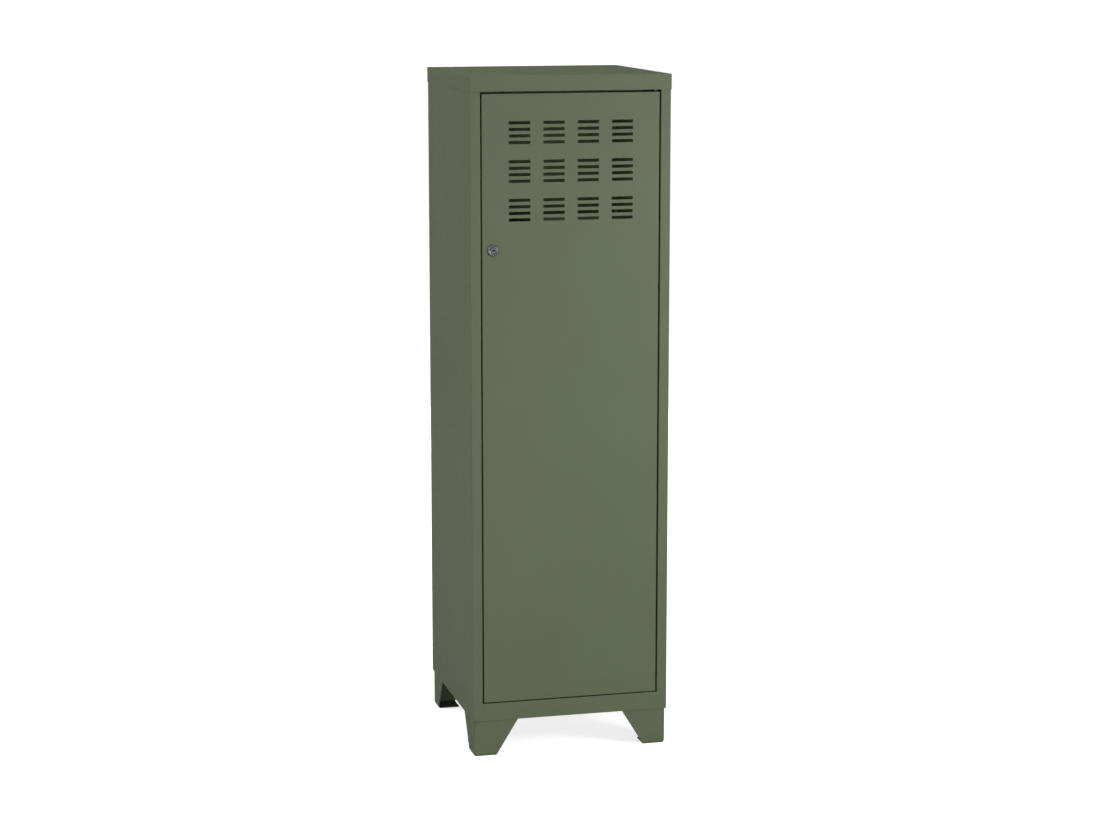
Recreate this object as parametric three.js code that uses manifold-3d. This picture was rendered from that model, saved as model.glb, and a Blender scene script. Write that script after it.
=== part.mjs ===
// Steel locker with one hinged door, a cam lock, a shelf, a hanging rail and four folded feet.
// Millimetres, +Z up, door towards -Y. The origin is on the floor, below the middle of the body.
import * as THREE from 'three';
import { mergeVertices } from 'three/addons/utils/BufferGeometryUtils.js';
import Module from 'manifold-3d';

const wasm = await Module();
wasm.setup();

// Overall size, over the cap and down to the floor
const WIDTH = 400;
const DEPTH = 400;
const HEIGHT = 1340;

// Sheet metal and clearances
const SHEET = 0.8;
const BEND = 1.2; // fold radius at mid sheet
const EDGE = 1.2; // outer rounding of a pressed edge
const CORNER = 1.8; // outer rounding of a pressed corner
const FIT = 0.3; // gap between pieces that lie on each other
const PLAY = 0.2; // gap round a shank in its hole
const RUN = 0.12; // gap round a shaft that turns

// Body
const CAP_LIP = 30;
const CAP_NUT = 5; // height of the nuts under the cap
const CAP_NUT_RADIUS = 5;
const CAP_SCREW_INSET = 9; // from the side face
const CAP_SCREW_SETBACK = 50; // from the front and rear faces
const STILE = 20;
const APRON = 35;
const REAR_FLANGE = 15;
const TOP_FLANGE = 18;
const STRIKE = 10;
const STOP_LIP = 12;
const TRAY_FLANGE = 20;
const TRAY_UPTURN = 15;
const WALL_HOLE_RADIUS = 4;
const WALL_HOLE_SPACING = 240;
const WALL_HOLE_DROP = 70; // below the top of the body

// Feet
const FOOT_HEIGHT = 73; // below the body
const FOOT_SHEET = 2;
const FOOT_WIDTH = 90; // of each flange at the body
const FOOT_BASE = 45; // of each flange at the floor
const FOOT_CORNER = 6;
const FOOT_EDGE = 5;
const FOOT_LIP_MARGIN = 16; // of the flange under the floor, inside the bolts
const FOOT_BOLT_DOOR_GAP = 2.5; // behind the door
const FOOT_BOLT_REACH = 62; // along each flange
const WELD_NUT_RADIUS = 6;
const WELD_NUT = 5;

// Door
const LATCH_GAP = 2.5; // lock side
const HINGE_GAP = 3;
const HEAD_GAP = 4;
const SILL_GAP = 2;
const DOOR_DEPTH = 17.5;
const DOOR_RETURN = 10;
const STIFFENER_WIDTH = 60;
const STIFFENER_FLANGE = 14;
const STIFFENER_DEPTH = 13;
const STIFFENER_MARGIN = 20; // below the slots and above the sill

// Ventilation slots
const SLOT_LENGTH = 42;
const SLOT_HEIGHT = 6;
const SLOT_PITCH = 12.5;
const SLOTS = 4; // in a group
const SLOT_COLUMNS = 4;
const COLUMN_PITCH = 68;
const SLOT_GROUPS = 3;
const GROUP_PITCH = 74;
const SLOT_DROP = 55.6; // door top to the first slot

// Pivots
const PIVOT_INSET = 8; // from the door's edge
const PIVOT_SETBACK = 6; // from the door's face
const PIN_RADIUS = 3;
const PIN_REACH = 7; // into the door
const PIN_HEAD_RADIUS = 4.2;
const PIN_HEAD = 1.2;
const PIN_TIP = 0.8; // chamfer
const BUSH_WALL = 1.4;
const BUSH_REACH = 5; // into the door
const BUSH_FLANGE_RADIUS = 5.5;
const PIN_RELIEF = 2; // round the pin's head, in the foot

// Lock
const LOCK_INSET = 21.2; // from the door's edge
const LOCK_DROP = 299; // below the door's top
const BEZEL_RADIUS = 11;
const BEZEL_FACE_RADIUS = 8.6;
const BEZEL = 3.6; // proud of the door
const BEZEL_RIM = 1.2;
const BARREL_RADIUS = 9.5;
const LOCK_NUT_RADIUS = 13.8;
const LOCK_NUT = 4;
const PLUG_RADIUS = 6;
const PLUG_RECESS = 0.5;
const KEYHOLE_LENGTH = 8;
const KEYHOLE_WIDTH = 1.6;
const KEYHOLE_DEPTH = 5;
const TENON = 7; // square end of the plug
const CAM = 2;
const CAM_WIDTH = 14;
const CAM_TIP_RADIUS = 4;
const CAM_GAP = 2.2; // behind the strike flange
const CAM_TIP_GAP = 2; // from the return of the stile

// Buffers
const BUFFER = 3.8; // height of the rubber
const BUFFER_RADIUS = 4;
const BUFFER_ROUND = 1;
const BUFFER_STEM_RADIUS = 2.4;
const BUFFER_BARB = 0.7; // wider than the stem
const BUFFER_TAIL = 1.6;
const BUFFER_MARGIN = 150; // from the door's top and bottom

// Shelf and rail
const SHELF_DROP = 266; // door top to shelf
const SHELF_FLANGE = 25;
const SHELF_HEM = 12;
const SHELF_LOCK_GAP = 5; // behind the lock
const SHELF_SIDE_GAP = 1.5;
const BRACKET_LEG = 20;
const BRACKET_SETBACK = 20; // from the shelf's front and rear
const SHELF_SCREW_SETBACK = 45;
const RAIL_DROP = 55; // below the shelf
const RAIL_RADIUS = 10;
const RAIL_WALL = 1.2;
const SOCKET_FLANGE_RADIUS = 17;
const SOCKET_WALL = 2;
const SOCKET_REACH = 12;

// Fasteners: radii of the shank, head and driver recess, and lengths along the axis
const FOOT_BOLT = { shank: 3, length: 12, head: 6.2, height: 3.2, recess: 2.3 };
const SHELF_SCREW = { shank: 2, length: 6, head: 4, height: 2, recess: 1.5 };
const CAP_SCREW = { shank: 2, length: 5, head: 4, height: 2.2, recess: 1.5 };
const CAM_SCREW = { shank: 2, length: 9, head: 4.6, height: 2.4, recess: 1.6 };
const RIVET = { shank: 2, head: 3.5, height: 0.7, tail: 3, tailHeight: 1 };
const RIVET_INSET = 8; // from the side face
const RIVET_ROWS = 3;
const RIVET_MARGIN = 70; // from the floor's upturn and the body's top

// Facets of the round pieces
const SIDES = 12; // of a fastener or a hole
const FINE_SIDES = 20; // of a pivot, the lock or a rail socket
const CURVE_STEPS = 8; // of an arc in an outline
const BEND_STEPS = 3; // of a fold

// Body faces
const BODY_X = WIDTH / 2 - SHEET - FIT;
const BODY_Y = DEPTH / 2 - SHEET - FIT;
const BODY_BOTTOM = FOOT_HEIGHT;
const BODY_TOP = HEIGHT - SHEET - CAP_NUT - FIT;
const INNER_X = BODY_X - SHEET;
const FLOOR_TOP = BODY_BOTTOM + APRON;
const BACK_REAR = BODY_Y - SHEET - FIT;
const BACK_FRONT = BACK_REAR - SHEET;

// Door opening and door faces
const OPENING_X = BODY_X - STILE;
const OPENING_TOP = HEIGHT - CAP_LIP;
const DOOR_LEFT = -OPENING_X + LATCH_GAP;
const DOOR_RIGHT = OPENING_X - HINGE_GAP;
const DOOR_BOTTOM = FLOOR_TOP + SILL_GAP;
const DOOR_TOP = OPENING_TOP - HEAD_GAP;
const DOOR_FRONT = -BODY_Y;
const DOOR_BACK = DOOR_FRONT + DOOR_DEPTH;
const DOOR_X = (DOOR_LEFT + DOOR_RIGHT) / 2;
const DOOR_INSIDE = DOOR_FRONT + SHEET;
const STRIKE_FRONT = DOOR_BACK + FIT + BUFFER + FIT;
const STRIKE_REAR = STRIKE_FRONT + SHEET;
const PIVOT_X = DOOR_RIGHT - PIVOT_INSET;
const PIVOT_Y = DOOR_FRONT + PIVOT_SETBACK;
const SLOT_TOP = DOOR_TOP - SLOT_DROP;
const SLOT_SPAN = (SLOT_GROUPS - 1) * GROUP_PITCH + (SLOTS - 1) * SLOT_PITCH;
const SLOT_BOTTOM = SLOT_TOP - SLOT_SPAN - SLOT_HEIGHT / 2;

// Lock, shelf and rail places
const LOCK_X = DOOR_LEFT + LOCK_INSET;
const LOCK_Z = DOOR_TOP - LOCK_DROP;
const CAM_FRONT = STRIKE_REAR + CAM_GAP;
const CAM_REAR = CAM_FRONT + CAM;
const CAM_REACH = LOCK_X + OPENING_X - CAM_TIP_GAP;
const LOCK_END = CAM_REAR + FIT + CAM_SCREW.height;
const SHELF_TOP = DOOR_TOP - SHELF_DROP;
const SHELF_UNDERSIDE = SHELF_TOP - SHEET;
const SHELF_FRONT = LOCK_END + SHELF_LOCK_GAP;
const SHELF_REAR = BACK_FRONT - FIT - RIVET.tailHeight - FIT;
const BRACKET_X = INNER_X - FIT;
const SHELF_SCREW_X = BRACKET_X - BRACKET_LEG / 2;
const RAIL_Z = SHELF_TOP - RAIL_DROP;
const RAIL_HALF = INNER_X - FIT - SOCKET_WALL - FIT;
const RAIL_Y = (SHELF_FRONT + SHELF_REAR) / 2;

// Foot places
const FOOT_INSET = 2 * (SHEET + FIT);
const FOOT_X = BODY_X - FOOT_INSET;
const FOOT_Y = BODY_Y - FOOT_INSET;
const FOOT_TOP = FLOOR_TOP - SHEET - FIT;
const FOOT_BOLT_INSET = FOOT_Y + DOOR_BACK + FOOT_BOLT_DOOR_GAP + FOOT_BOLT.head;
const FOOT_LIP = FOOT_BOLT_INSET + FOOT_LIP_MARGIN;
const FOOT_BOLTS = [
  [FOOT_BOLT_REACH, FOOT_BOLT_INSET],
  [FOOT_BOLT_INSET, FOOT_BOLT_REACH],
];
const FOOT_CORNERS = [
  ['front_left', -1, -1],
  ['front_right', 1, -1],
  ['rear_right', 1, 1],
  ['rear_left', -1, 1],
];

// Fastener places
const CAP_SCREW_X = BODY_X - CAP_SCREW_INSET;
const CAP_SCREW_Y = BODY_Y - CAP_SCREW_SETBACK;
const RIVET_X = BODY_X - RIVET_INSET;
const RIVET_LOW = FLOOR_TOP + TRAY_UPTURN + RIVET_MARGIN;
const RIVET_STEP = (BODY_TOP - RIVET_MARGIN - RIVET_LOW) / (RIVET_ROWS - 1);
const RIVET_HEIGHTS = Array.from({ length: RIVET_ROWS }, (_, row) => RIVET_LOW + row * RIVET_STEP);
const SHELF_SCREW_YS = [SHELF_FRONT + SHELF_SCREW_SETBACK, SHELF_REAR - SHELF_SCREW_SETBACK];
const BUFFER_X = -OPENING_X + STRIKE / 2;
const BUFFER_HEIGHTS = [DOOR_BOTTOM + BUFFER_MARGIN, DOOR_TOP - BUFFER_MARGIN];
const BOTH_SIDES = [['left', -1], ['right', 1]];
const BOTH_ENDS = [['front', 0], ['rear', 1]];

// Materials

const paint = () => new THREE.MeshStandardMaterial({ color: 0x5e6950, roughness: 0.5, metalness: 0 });
const zinc = () => new THREE.MeshStandardMaterial({ color: 0xb4b6b4, roughness: 0.4, metalness: 1 });
const chrome = () => new THREE.MeshStandardMaterial({ color: 0xa9abad, roughness: 0.25, metalness: 1 });
const nylon = () => new THREE.MeshStandardMaterial({ color: 0x26282a, roughness: 0.6, metalness: 0 });
const rubber = () => new THREE.MeshStandardMaterial({ color: 0x1c1c1c, roughness: 0.8, metalness: 0 });

// Solids from geometries

// A closed geometry as a solid that can be cut and joined.
function solid(geometry) {
  const bare = new THREE.BufferGeometry();
  bare.setAttribute('position', geometry.getAttribute('position'));
  bare.setIndex(geometry.getIndex());
  const merged = mergeVertices(bare);
  const corners = merged.getIndex().array;
  const triangles = [];
  for (let i = 0; i < corners.length; i += 3) {
    const [a, b, c] = corners.slice(i, i + 3);
    if (a !== b && b !== c && c !== a) triangles.push(a, b, c);
  }
  const mesh = new wasm.Mesh({
    numProp: 3,
    vertProperties: new Float32Array(merged.getAttribute('position').array),
    triVerts: new Uint32Array(triangles),
  });
  return new wasm.Manifold(mesh);
}

// The surface of a solid as a geometry.
function surface(body) {
  const mesh = body.getMesh();
  const geometry = new THREE.BufferGeometry();
  geometry.setAttribute('position', new THREE.BufferAttribute(mesh.vertProperties, 3));
  geometry.setIndex(new THREE.BufferAttribute(mesh.triVerts, 1));
  const facets = geometry.toNonIndexed();
  facets.computeVertexNormals();
  return facets;
}

// A square-edged block between two limits on each axis.
function block([x0, x1], [y0, y1], [z0, z1]) {
  const geometry = new THREE.BoxGeometry(x1 - x0, y1 - y0, z1 - z0);
  return solid(geometry.translate((x0 + x1) / 2, (y0 + y1) / 2, (z0 + z1) / 2));
}

// A block round the origin with rounded corners in X and Y and rounded edges at both Z ends.
function roundedBlock(width, height, depth, corner, edge) {
  const x = width / 2 - corner;
  const y = height / 2 - corner;
  const shape = new THREE.Shape();
  shape.absarc(x, y, corner, 0, Math.PI / 2);
  shape.absarc(-x, y, corner, Math.PI / 2, Math.PI);
  shape.absarc(-x, -y, corner, Math.PI, 1.5 * Math.PI);
  shape.absarc(x, -y, corner, 1.5 * Math.PI, 2 * Math.PI);
  const geometry = new THREE.ExtrudeGeometry(shape, {
    depth: depth - 2 * edge,
    bevelThickness: edge,
    bevelSize: edge,
    bevelOffset: -edge,
    bevelSegments: BEND_STEPS,
    curveSegments: BEND_STEPS,
  });
  return geometry.translate(0, 0, edge - depth / 2);
}

// The section of a sheet folded squarely along a line of corners at mid sheet.
function foldedSection(corners) {
  const line = corners.map(([u, v]) => new THREE.Vector2(u, v));
  const square = (v) => new THREE.Vector2(-v.y, v.x);
  const heading = (i) => line[i + 1].clone().sub(line[i]).normalize();
  const left = [];
  const right = [];
  const put = (point, along) => {
    left.push(point.clone().addScaledVector(square(along), SHEET / 2));
    right.unshift(point.clone().addScaledVector(square(along), -SHEET / 2));
  };
  put(line[0], heading(0));
  for (let i = 1; i < line.length - 1; i += 1) {
    const before = heading(i - 1);
    const after = heading(i);
    const turn = Math.sign(before.cross(after));
    const centre = line[i].clone().addScaledVector(before, -BEND).addScaledVector(after, BEND);
    for (let step = 0; step <= BEND_STEPS; step += 1) {
      const angle = (turn * step * Math.PI) / 2 / BEND_STEPS;
      const along = before.clone().rotateAround(new THREE.Vector2(), angle);
      put(centre.clone().addScaledVector(square(along), -turn * BEND), along);
    }
  }
  put(line.at(-1), heading(line.length - 2));
  return new THREE.Shape([...left, ...right]);
}

// An outline drawn straight up along Z.
function extrusion(shape, depth) {
  return new THREE.ExtrudeGeometry(shape, { depth, bevelEnabled: false, curveSegments: CURVE_STEPS });
}

// A section in Y and Z drawn along X.
function alongX(shape, from, to) {
  const geometry = extrusion(shape, to - from);
  return solid(geometry.rotateX(Math.PI / 2).rotateZ(Math.PI / 2).translate(from, 0, 0));
}

// A section in X and Z drawn along Y.
function alongY(shape, from, to) {
  return solid(extrusion(shape, to - from).rotateX(Math.PI / 2).translate(0, to, 0));
}

// A section in X and Y drawn along Z.
function alongZ(shape, from, to) {
  return solid(extrusion(shape, to - from).translate(0, 0, from));
}

// A round cutter whose flats lie on the radius, along Y round the origin.
function cutter(radius, length) {
  const across = radius / Math.cos(Math.PI / SIDES);
  return new THREE.CylinderGeometry(across, across, length, SIDES);
}

// A drilled hole along Y, between two limits.
function holeY(x, z, radius, [from, to]) {
  return solid(cutter(radius, to - from).translate(x, (from + to) / 2, z));
}

// A drilled hole along Z, between two limits.
function holeZ(x, y, radius, [from, to]) {
  return solid(cutter(radius, to - from).rotateX(Math.PI / 2).translate(x, y, (from + to) / 2));
}

// A profile of radius and height turned round the Y axis.
function turned(profile, sides = FINE_SIDES) {
  const points = profile.map(([radius, height]) => new THREE.Vector2(radius, height));
  return surface(solid(new THREE.LatheGeometry(points, sides)));
}

// A screw round the Y axis, with the seat of its head at the origin and a driver recess.
function screw({ shank, length, head, height, recess }) {
  const middle = height / 2;
  const profile = [
    [0, -length],
    [shank, -length],
    [shank, 0],
    [head, 0],
    [head, middle],
    [head - middle, height],
    [recess, height],
    [recess, middle],
    [0, middle],
  ];
  return turned(profile, SIDES);
}

const cut = (body, cutters) => cutters.reduce((rest, tool) => rest.subtract(tool), body);
const join = (body, pieces) => pieces.reduce((whole, piece) => whole.add(piece), body);

// Adds a named piece to a group and returns it for placing.
function piece(group, name, geometry, material) {
  const mesh = new THREE.Mesh(geometry, material);
  mesh.name = name;
  group.add(mesh);
  return mesh;
}

// Body sheets

// The lock-side panel. The hinge-side panel is its mirror image, without the buffer holes.
function sidePanel(buffered) {
  const wall = BODY_X - SHEET / 2;
  const front = -BODY_Y + SHEET / 2;
  const rear = BODY_Y - SHEET / 2;
  const jamb = OPENING_X + SHEET / 2;
  const strike = STRIKE_FRONT + SHEET / 2;
  const section = foldedSection([
    [-BODY_X + REAR_FLANGE, rear],
    [-wall, rear],
    [-wall, front],
    [-jamb, front],
    [-jamb, strike],
    [-OPENING_X + STRIKE, strike],
  ]);
  const strikeEdge = -OPENING_X + STRIKE + FIT;
  const behindStile = [-BODY_Y + SHEET, STRIKE_REAR + FIT];
  const underFloor = [BODY_BOTTOM - FIT, FLOOR_TOP + FIT];
  const besideHeader = [OPENING_TOP - STOP_LIP - FIT, BODY_TOP + FIT];
  const topFlange = block(
    [-wall, -BODY_X + TOP_FLANGE],
    [-BODY_Y + 2 * BEND, BACK_FRONT - FIT],
    [BODY_TOP - SHEET, BODY_TOP],
  );
  const sillStile = block(
    [-OPENING_X - 2 * BEND, -OPENING_X],
    [-BODY_Y, -BODY_Y + SHEET],
    [BODY_BOTTOM, FLOOR_TOP + FIT],
  );
  const cutters = [
    block([-OPENING_X - SHEET - BEND, strikeEdge], behindStile, underFloor),
    block([-OPENING_X, strikeEdge], [STRIKE_FRONT - BEND, STRIKE_REAR + FIT], besideHeader),
  ];
  for (const z of RIVET_HEIGHTS) {
    cutters.push(holeY(-RIVET_X, z, RIVET.shank + PLAY, [BODY_Y - 2 * SHEET, BODY_Y + SHEET]));
  }
  for (const y of [-CAP_SCREW_Y, CAP_SCREW_Y]) {
    const through = [BODY_TOP - 2 * SHEET, BODY_TOP + SHEET];
    cutters.push(holeZ(-CAP_SCREW_X, y, CAP_SCREW.shank + PLAY, through));
  }
  if (buffered) {
    for (const z of BUFFER_HEIGHTS) {
      const through = [STRIKE_FRONT - SHEET, STRIKE_REAR + SHEET];
      cutters.push(holeY(BUFFER_X, z, BUFFER_STEM_RADIUS + PLAY, through));
    }
  }
  const panel = alongZ(section, BODY_BOTTOM, BODY_TOP);
  return surface(join(cut(panel, cutters), [cut(topFlange, cutters), sillStile]));
}

function backPanel() {
  const half = INNER_X - FIT - BEND;
  const through = [BACK_FRONT - SHEET, BACK_REAR + SHEET];
  const sheet = block([-half, half], [BACK_FRONT, BACK_REAR], [BODY_BOTTOM + FIT, BODY_TOP - FIT]);
  const cutters = [];
  for (const [, side] of BOTH_SIDES) {
    const x = (side * WALL_HOLE_SPACING) / 2;
    cutters.push(holeY(x, BODY_TOP - WALL_HOLE_DROP, WALL_HOLE_RADIUS, through));
    for (const z of RIVET_HEIGHTS) {
      cutters.push(holeY(side * RIVET_X, z, RIVET.shank + PLAY, through));
    }
  }
  return surface(cut(sheet, cutters));
}

function floorTray() {
  const plate = FLOOR_TOP - SHEET / 2;
  const side = INNER_X - FIT - SHEET / 2;
  const front = -BODY_Y + SHEET / 2;
  const rear = BACK_FRONT - FIT - SHEET / 2;
  const foldLength = 4 * BEND;
  const flanges = foldedSection([
    [-side, FLOOR_TOP - TRAY_FLANGE],
    [-side, plate],
    [side, plate],
    [side, FLOOR_TOP - TRAY_FLANGE],
  ]);
  const apron = foldedSection([
    [front, BODY_BOTTOM],
    [front, plate],
    [front + foldLength, plate],
  ]);
  const upturn = foldedSection([
    [rear - foldLength, plate],
    [rear, plate],
    [rear, FLOOR_TOP + TRAY_UPTURN],
  ]);
  const apronHalf = OPENING_X - FIT;
  const upturnHalf = side - BEND;
  const tray = join(alongY(flanges, -BODY_Y + SHEET + FIT, rear - BEND), [
    alongX(apron, -apronHalf, apronHalf),
    alongX(upturn, -upturnHalf, upturnHalf),
  ]);
  const through = [FLOOR_TOP - 2 * SHEET, FLOOR_TOP + SHEET];
  const cutters = [holeZ(PIVOT_X, PIVOT_Y, PIN_RADIUS + PLAY, through)];
  for (const [, right, back] of FOOT_CORNERS) {
    for (const [u, v] of FOOT_BOLTS) {
      const x = right * (FOOT_X - u);
      const y = back * (FOOT_Y - v);
      cutters.push(holeZ(x, y, FOOT_BOLT.shank + PLAY, through));
    }
  }
  return surface(cut(tray, cutters));
}

function headerRail() {
  const front = -BODY_Y + SHEET / 2;
  const stop = STRIKE_FRONT + SHEET / 2;
  const section = foldedSection([
    [-BODY_Y + TOP_FLANGE, BODY_TOP - SHEET / 2],
    [front, BODY_TOP - SHEET / 2],
    [front, OPENING_TOP + SHEET / 2],
    [stop, OPENING_TOP + SHEET / 2],
    [stop, OPENING_TOP - STOP_LIP],
  ]);
  const half = OPENING_X - FIT;
  const through = [OPENING_TOP - SHEET, OPENING_TOP + 2 * SHEET];
  const rail = alongX(section, -half, half);
  return surface(cut(rail, [holeZ(PIVOT_X, PIVOT_Y, PIN_RADIUS + PLAY, through)]));
}

function topCap() {
  const lipBottom = HEIGHT - CAP_LIP;
  const waste = CAP_LIP / 2;
  const outerDepth = CAP_LIP + waste;
  const outer = roundedBlock(WIDTH, DEPTH, outerDepth, CORNER, EDGE);
  const innerX = WIDTH / 2 - SHEET;
  const innerY = DEPTH / 2 - SHEET;
  const underside = HEIGHT - SHEET;
  const shell = cut(solid(outer.translate(0, 0, HEIGHT - outerDepth / 2)), [
    block([-WIDTH, WIDTH], [-DEPTH, DEPTH], [lipBottom - 2 * waste, lipBottom]),
    block([-innerX, innerX], [-innerY, innerY], [lipBottom - waste, underside]),
  ]);
  const nuts = [];
  const threads = [];
  for (const x of [-CAP_SCREW_X, CAP_SCREW_X]) {
    for (const y of [-CAP_SCREW_Y, CAP_SCREW_Y]) {
      const nut = new THREE.CylinderGeometry(CAP_NUT_RADIUS, CAP_NUT_RADIUS, CAP_NUT + SHEET / 2, 6);
      const middle = underside - CAP_NUT / 2 + SHEET / 4;
      nuts.push(solid(nut.rotateX(Math.PI / 2).translate(x, y, middle)));
      threads.push(holeZ(x, y, CAP_SCREW.shank + PLAY, [underside - 2 * CAP_NUT, underside]));
    }
  }
  return surface(cut(join(shell, nuts), threads));
}

// Feet

// One corner foot, with its outer corner at the origin and its flanges towards +X and +Y.
function foot() {
  const whole = 2 * FOOT_WIDTH;
  const outer = roundedBlock(whole, whole, FOOT_TOP, FOOT_CORNER, FOOT_EDGE);
  const inner = roundedBlock(
    whole - 2 * FOOT_SHEET,
    whole - 2 * FOOT_SHEET,
    FOOT_TOP - 2 * FOOT_SHEET,
    FOOT_CORNER - FOOT_SHEET,
    FOOT_EDGE - FOOT_SHEET,
  );
  const shell = solid(outer.translate(FOOT_WIDTH, FOOT_WIDTH, FOOT_TOP / 2)).subtract(
    solid(inner.translate(FOOT_WIDTH, FOOT_WIDTH, FOOT_TOP / 2)),
  );
  const over = FOOT_SHEET;
  const slope = (FOOT_WIDTH - FOOT_BASE) / FOOT_HEIGHT;
  const taper = new THREE.Shape([
    new THREE.Vector2(-over, -over),
    new THREE.Vector2(FOOT_BASE - over * slope, -over),
    new THREE.Vector2(FOOT_WIDTH, FOOT_HEIGHT),
    new THREE.Vector2(FOOT_WIDTH, FOOT_TOP + over),
    new THREE.Vector2(-over, FOOT_TOP + over),
  ]);
  const tapered = shell
    .intersect(alongX(taper, -over, whole))
    .intersect(alongY(taper, -over, whole));

  const underLip = FOOT_TOP - FOOT_SHEET;
  const clear = [FOOT_LIP, whole];
  const reliefU = FOOT_X - PIVOT_X;
  const reliefHalf = PIN_HEAD_RADIUS + PIN_RELIEF;
  const reliefAlong = [reliefU - reliefHalf, reliefU + reliefHalf];
  const reliefAcross = [-over, PIVOT_Y + FOOT_Y + reliefHalf];
  const reliefUp = [FOOT_TOP - FOOT_EDGE - PIN_RELIEF, FOOT_TOP + over];
  const cutters = [
    block(clear, clear, [underLip - FOOT_SHEET, FOOT_TOP + over]),
    block(reliefAlong, reliefAcross, reliefUp),
    block(reliefAcross, reliefAlong, reliefUp),
  ];
  const nuts = FOOT_BOLTS.map(([x, y]) => {
    const nut = new THREE.CylinderGeometry(WELD_NUT_RADIUS, WELD_NUT_RADIUS, WELD_NUT + FOOT_SHEET / 2, 6);
    const middle = underLip - WELD_NUT / 2 + FOOT_SHEET / 4;
    return solid(nut.rotateX(Math.PI / 2).translate(x, y, middle));
  });
  const threads = FOOT_BOLTS.map(([x, y]) => {
    return holeZ(x, y, FOOT_BOLT.shank + PLAY, [underLip - 2 * WELD_NUT, FOOT_TOP + over]);
  });
  return surface(cut(join(cut(tapered, cutters), nuts), threads));
}

// Door

function doorPan() {
  const width = DOOR_RIGHT - DOOR_LEFT;
  const height = DOOR_TOP - DOOR_BOTTOM;
  const middleZ = (DOOR_TOP + DOOR_BOTTOM) / 2;
  const outer = roundedBlock(width, height, DOOR_DEPTH, CORNER, EDGE);
  outer.rotateX(Math.PI / 2).translate(DOOR_X, (DOOR_FRONT + DOOR_BACK) / 2, middleZ);
  const inset = (low, high, by) => [low + by, high - by];
  const window = SHEET + DOOR_RETURN;
  const lip = BUSH_WALL + PIN_RADIUS + RUN + PLAY;
  const cutters = [
    block(
      inset(DOOR_LEFT, DOOR_RIGHT, SHEET),
      inset(DOOR_FRONT, DOOR_BACK, SHEET),
      inset(DOOR_BOTTOM, DOOR_TOP, SHEET),
    ),
    block(
      inset(DOOR_LEFT, DOOR_RIGHT, window),
      [DOOR_BACK - 2 * SHEET, DOOR_BACK + SHEET],
      inset(DOOR_BOTTOM, DOOR_TOP, window),
    ),
    holeY(LOCK_X, LOCK_Z, BARREL_RADIUS + PLAY, [DOOR_FRONT - SHEET, DOOR_FRONT + 2 * SHEET]),
    holeZ(PIVOT_X, PIVOT_Y, lip, [DOOR_TOP - 2 * SHEET, DOOR_TOP + SHEET]),
    holeZ(PIVOT_X, PIVOT_Y, lip, [DOOR_BOTTOM - SHEET, DOOR_BOTTOM + 2 * SHEET]),
  ];
  for (let column = 0; column < SLOT_COLUMNS; column += 1) {
    const x = DOOR_X + (column - (SLOT_COLUMNS - 1) / 2) * COLUMN_PITCH;
    for (let group = 0; group < SLOT_GROUPS; group += 1) {
      for (let slot = 0; slot < SLOTS; slot += 1) {
        const z = SLOT_TOP - group * GROUP_PITCH - slot * SLOT_PITCH;
        cutters.push(block(
          [x - SLOT_LENGTH / 2, x + SLOT_LENGTH / 2],
          [DOOR_FRONT - SHEET, DOOR_FRONT + 2 * SHEET],
          [z - SLOT_HEIGHT / 2, z + SLOT_HEIGHT / 2],
        ));
      }
    }
  }
  return surface(cut(solid(outer), cutters));
}

function doorStiffener() {
  const flat = DOOR_INSIDE + FIT + SHEET / 2;
  const crown = flat + STIFFENER_DEPTH;
  const edge = STIFFENER_WIDTH / 2;
  const web = edge - STIFFENER_FLANGE;
  const section = foldedSection([
    [DOOR_X - edge, flat],
    [DOOR_X - web, flat],
    [DOOR_X - web, crown],
    [DOOR_X + web, crown],
    [DOOR_X + web, flat],
    [DOOR_X + edge, flat],
  ]);
  return surface(alongZ(section, DOOR_BOTTOM + STIFFENER_MARGIN, SLOT_BOTTOM - STIFFENER_MARGIN));
}

// Pivots

// A headed pin round the Y axis: the seat of its head is at the origin and its shank points down.
function pivotPin(length) {
  return turned([
    [0, -length],
    [PIN_RADIUS - PIN_TIP, -length],
    [PIN_RADIUS, -length + PIN_TIP],
    [PIN_RADIUS, 0],
    [PIN_HEAD_RADIUS, 0],
    [PIN_HEAD_RADIUS, PIN_HEAD],
    [0, PIN_HEAD],
  ]);
}

// A flanged bush round the Y axis: the seat of its flange is at the origin, its barrel points down.
function pivotBush() {
  const bore = PIN_RADIUS + RUN;
  const barrel = bore + BUSH_WALL;
  const flange = SILL_GAP - 2 * FIT;
  return turned([
    [bore, -BUSH_REACH],
    [barrel, -BUSH_REACH],
    [barrel, 0],
    [BUSH_FLANGE_RADIUS, 0],
    [BUSH_FLANGE_RADIUS, flange],
    [bore, flange],
    [bore, -BUSH_REACH],
  ]);
}

// Lock

function lockBody() {
  const face = DOOR_FRONT - FIT - BEZEL;
  const seat = DOOR_FRONT - FIT;
  const end = CAM_FRONT - FIT;
  const bore = PLUG_RADIUS + RUN;
  return turned([
    [bore, face],
    [BEZEL_FACE_RADIUS, face],
    [BEZEL_RADIUS, seat - BEZEL_RIM],
    [BEZEL_RADIUS, seat],
    [BARREL_RADIUS, seat],
    [BARREL_RADIUS, end],
    [bore, end],
    [bore, face],
  ]).translate(LOCK_X, 0, LOCK_Z);
}

function lockNut() {
  const front = DOOR_INSIDE + FIT;
  const nut = new THREE.CylinderGeometry(LOCK_NUT_RADIUS, LOCK_NUT_RADIUS, LOCK_NUT, 6);
  const bore = holeY(LOCK_X, LOCK_Z, BARREL_RADIUS + PLAY, [front - LOCK_NUT, front + 2 * LOCK_NUT]);
  return surface(solid(nut.translate(LOCK_X, front + LOCK_NUT / 2, LOCK_Z)).subtract(bore));
}

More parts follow.
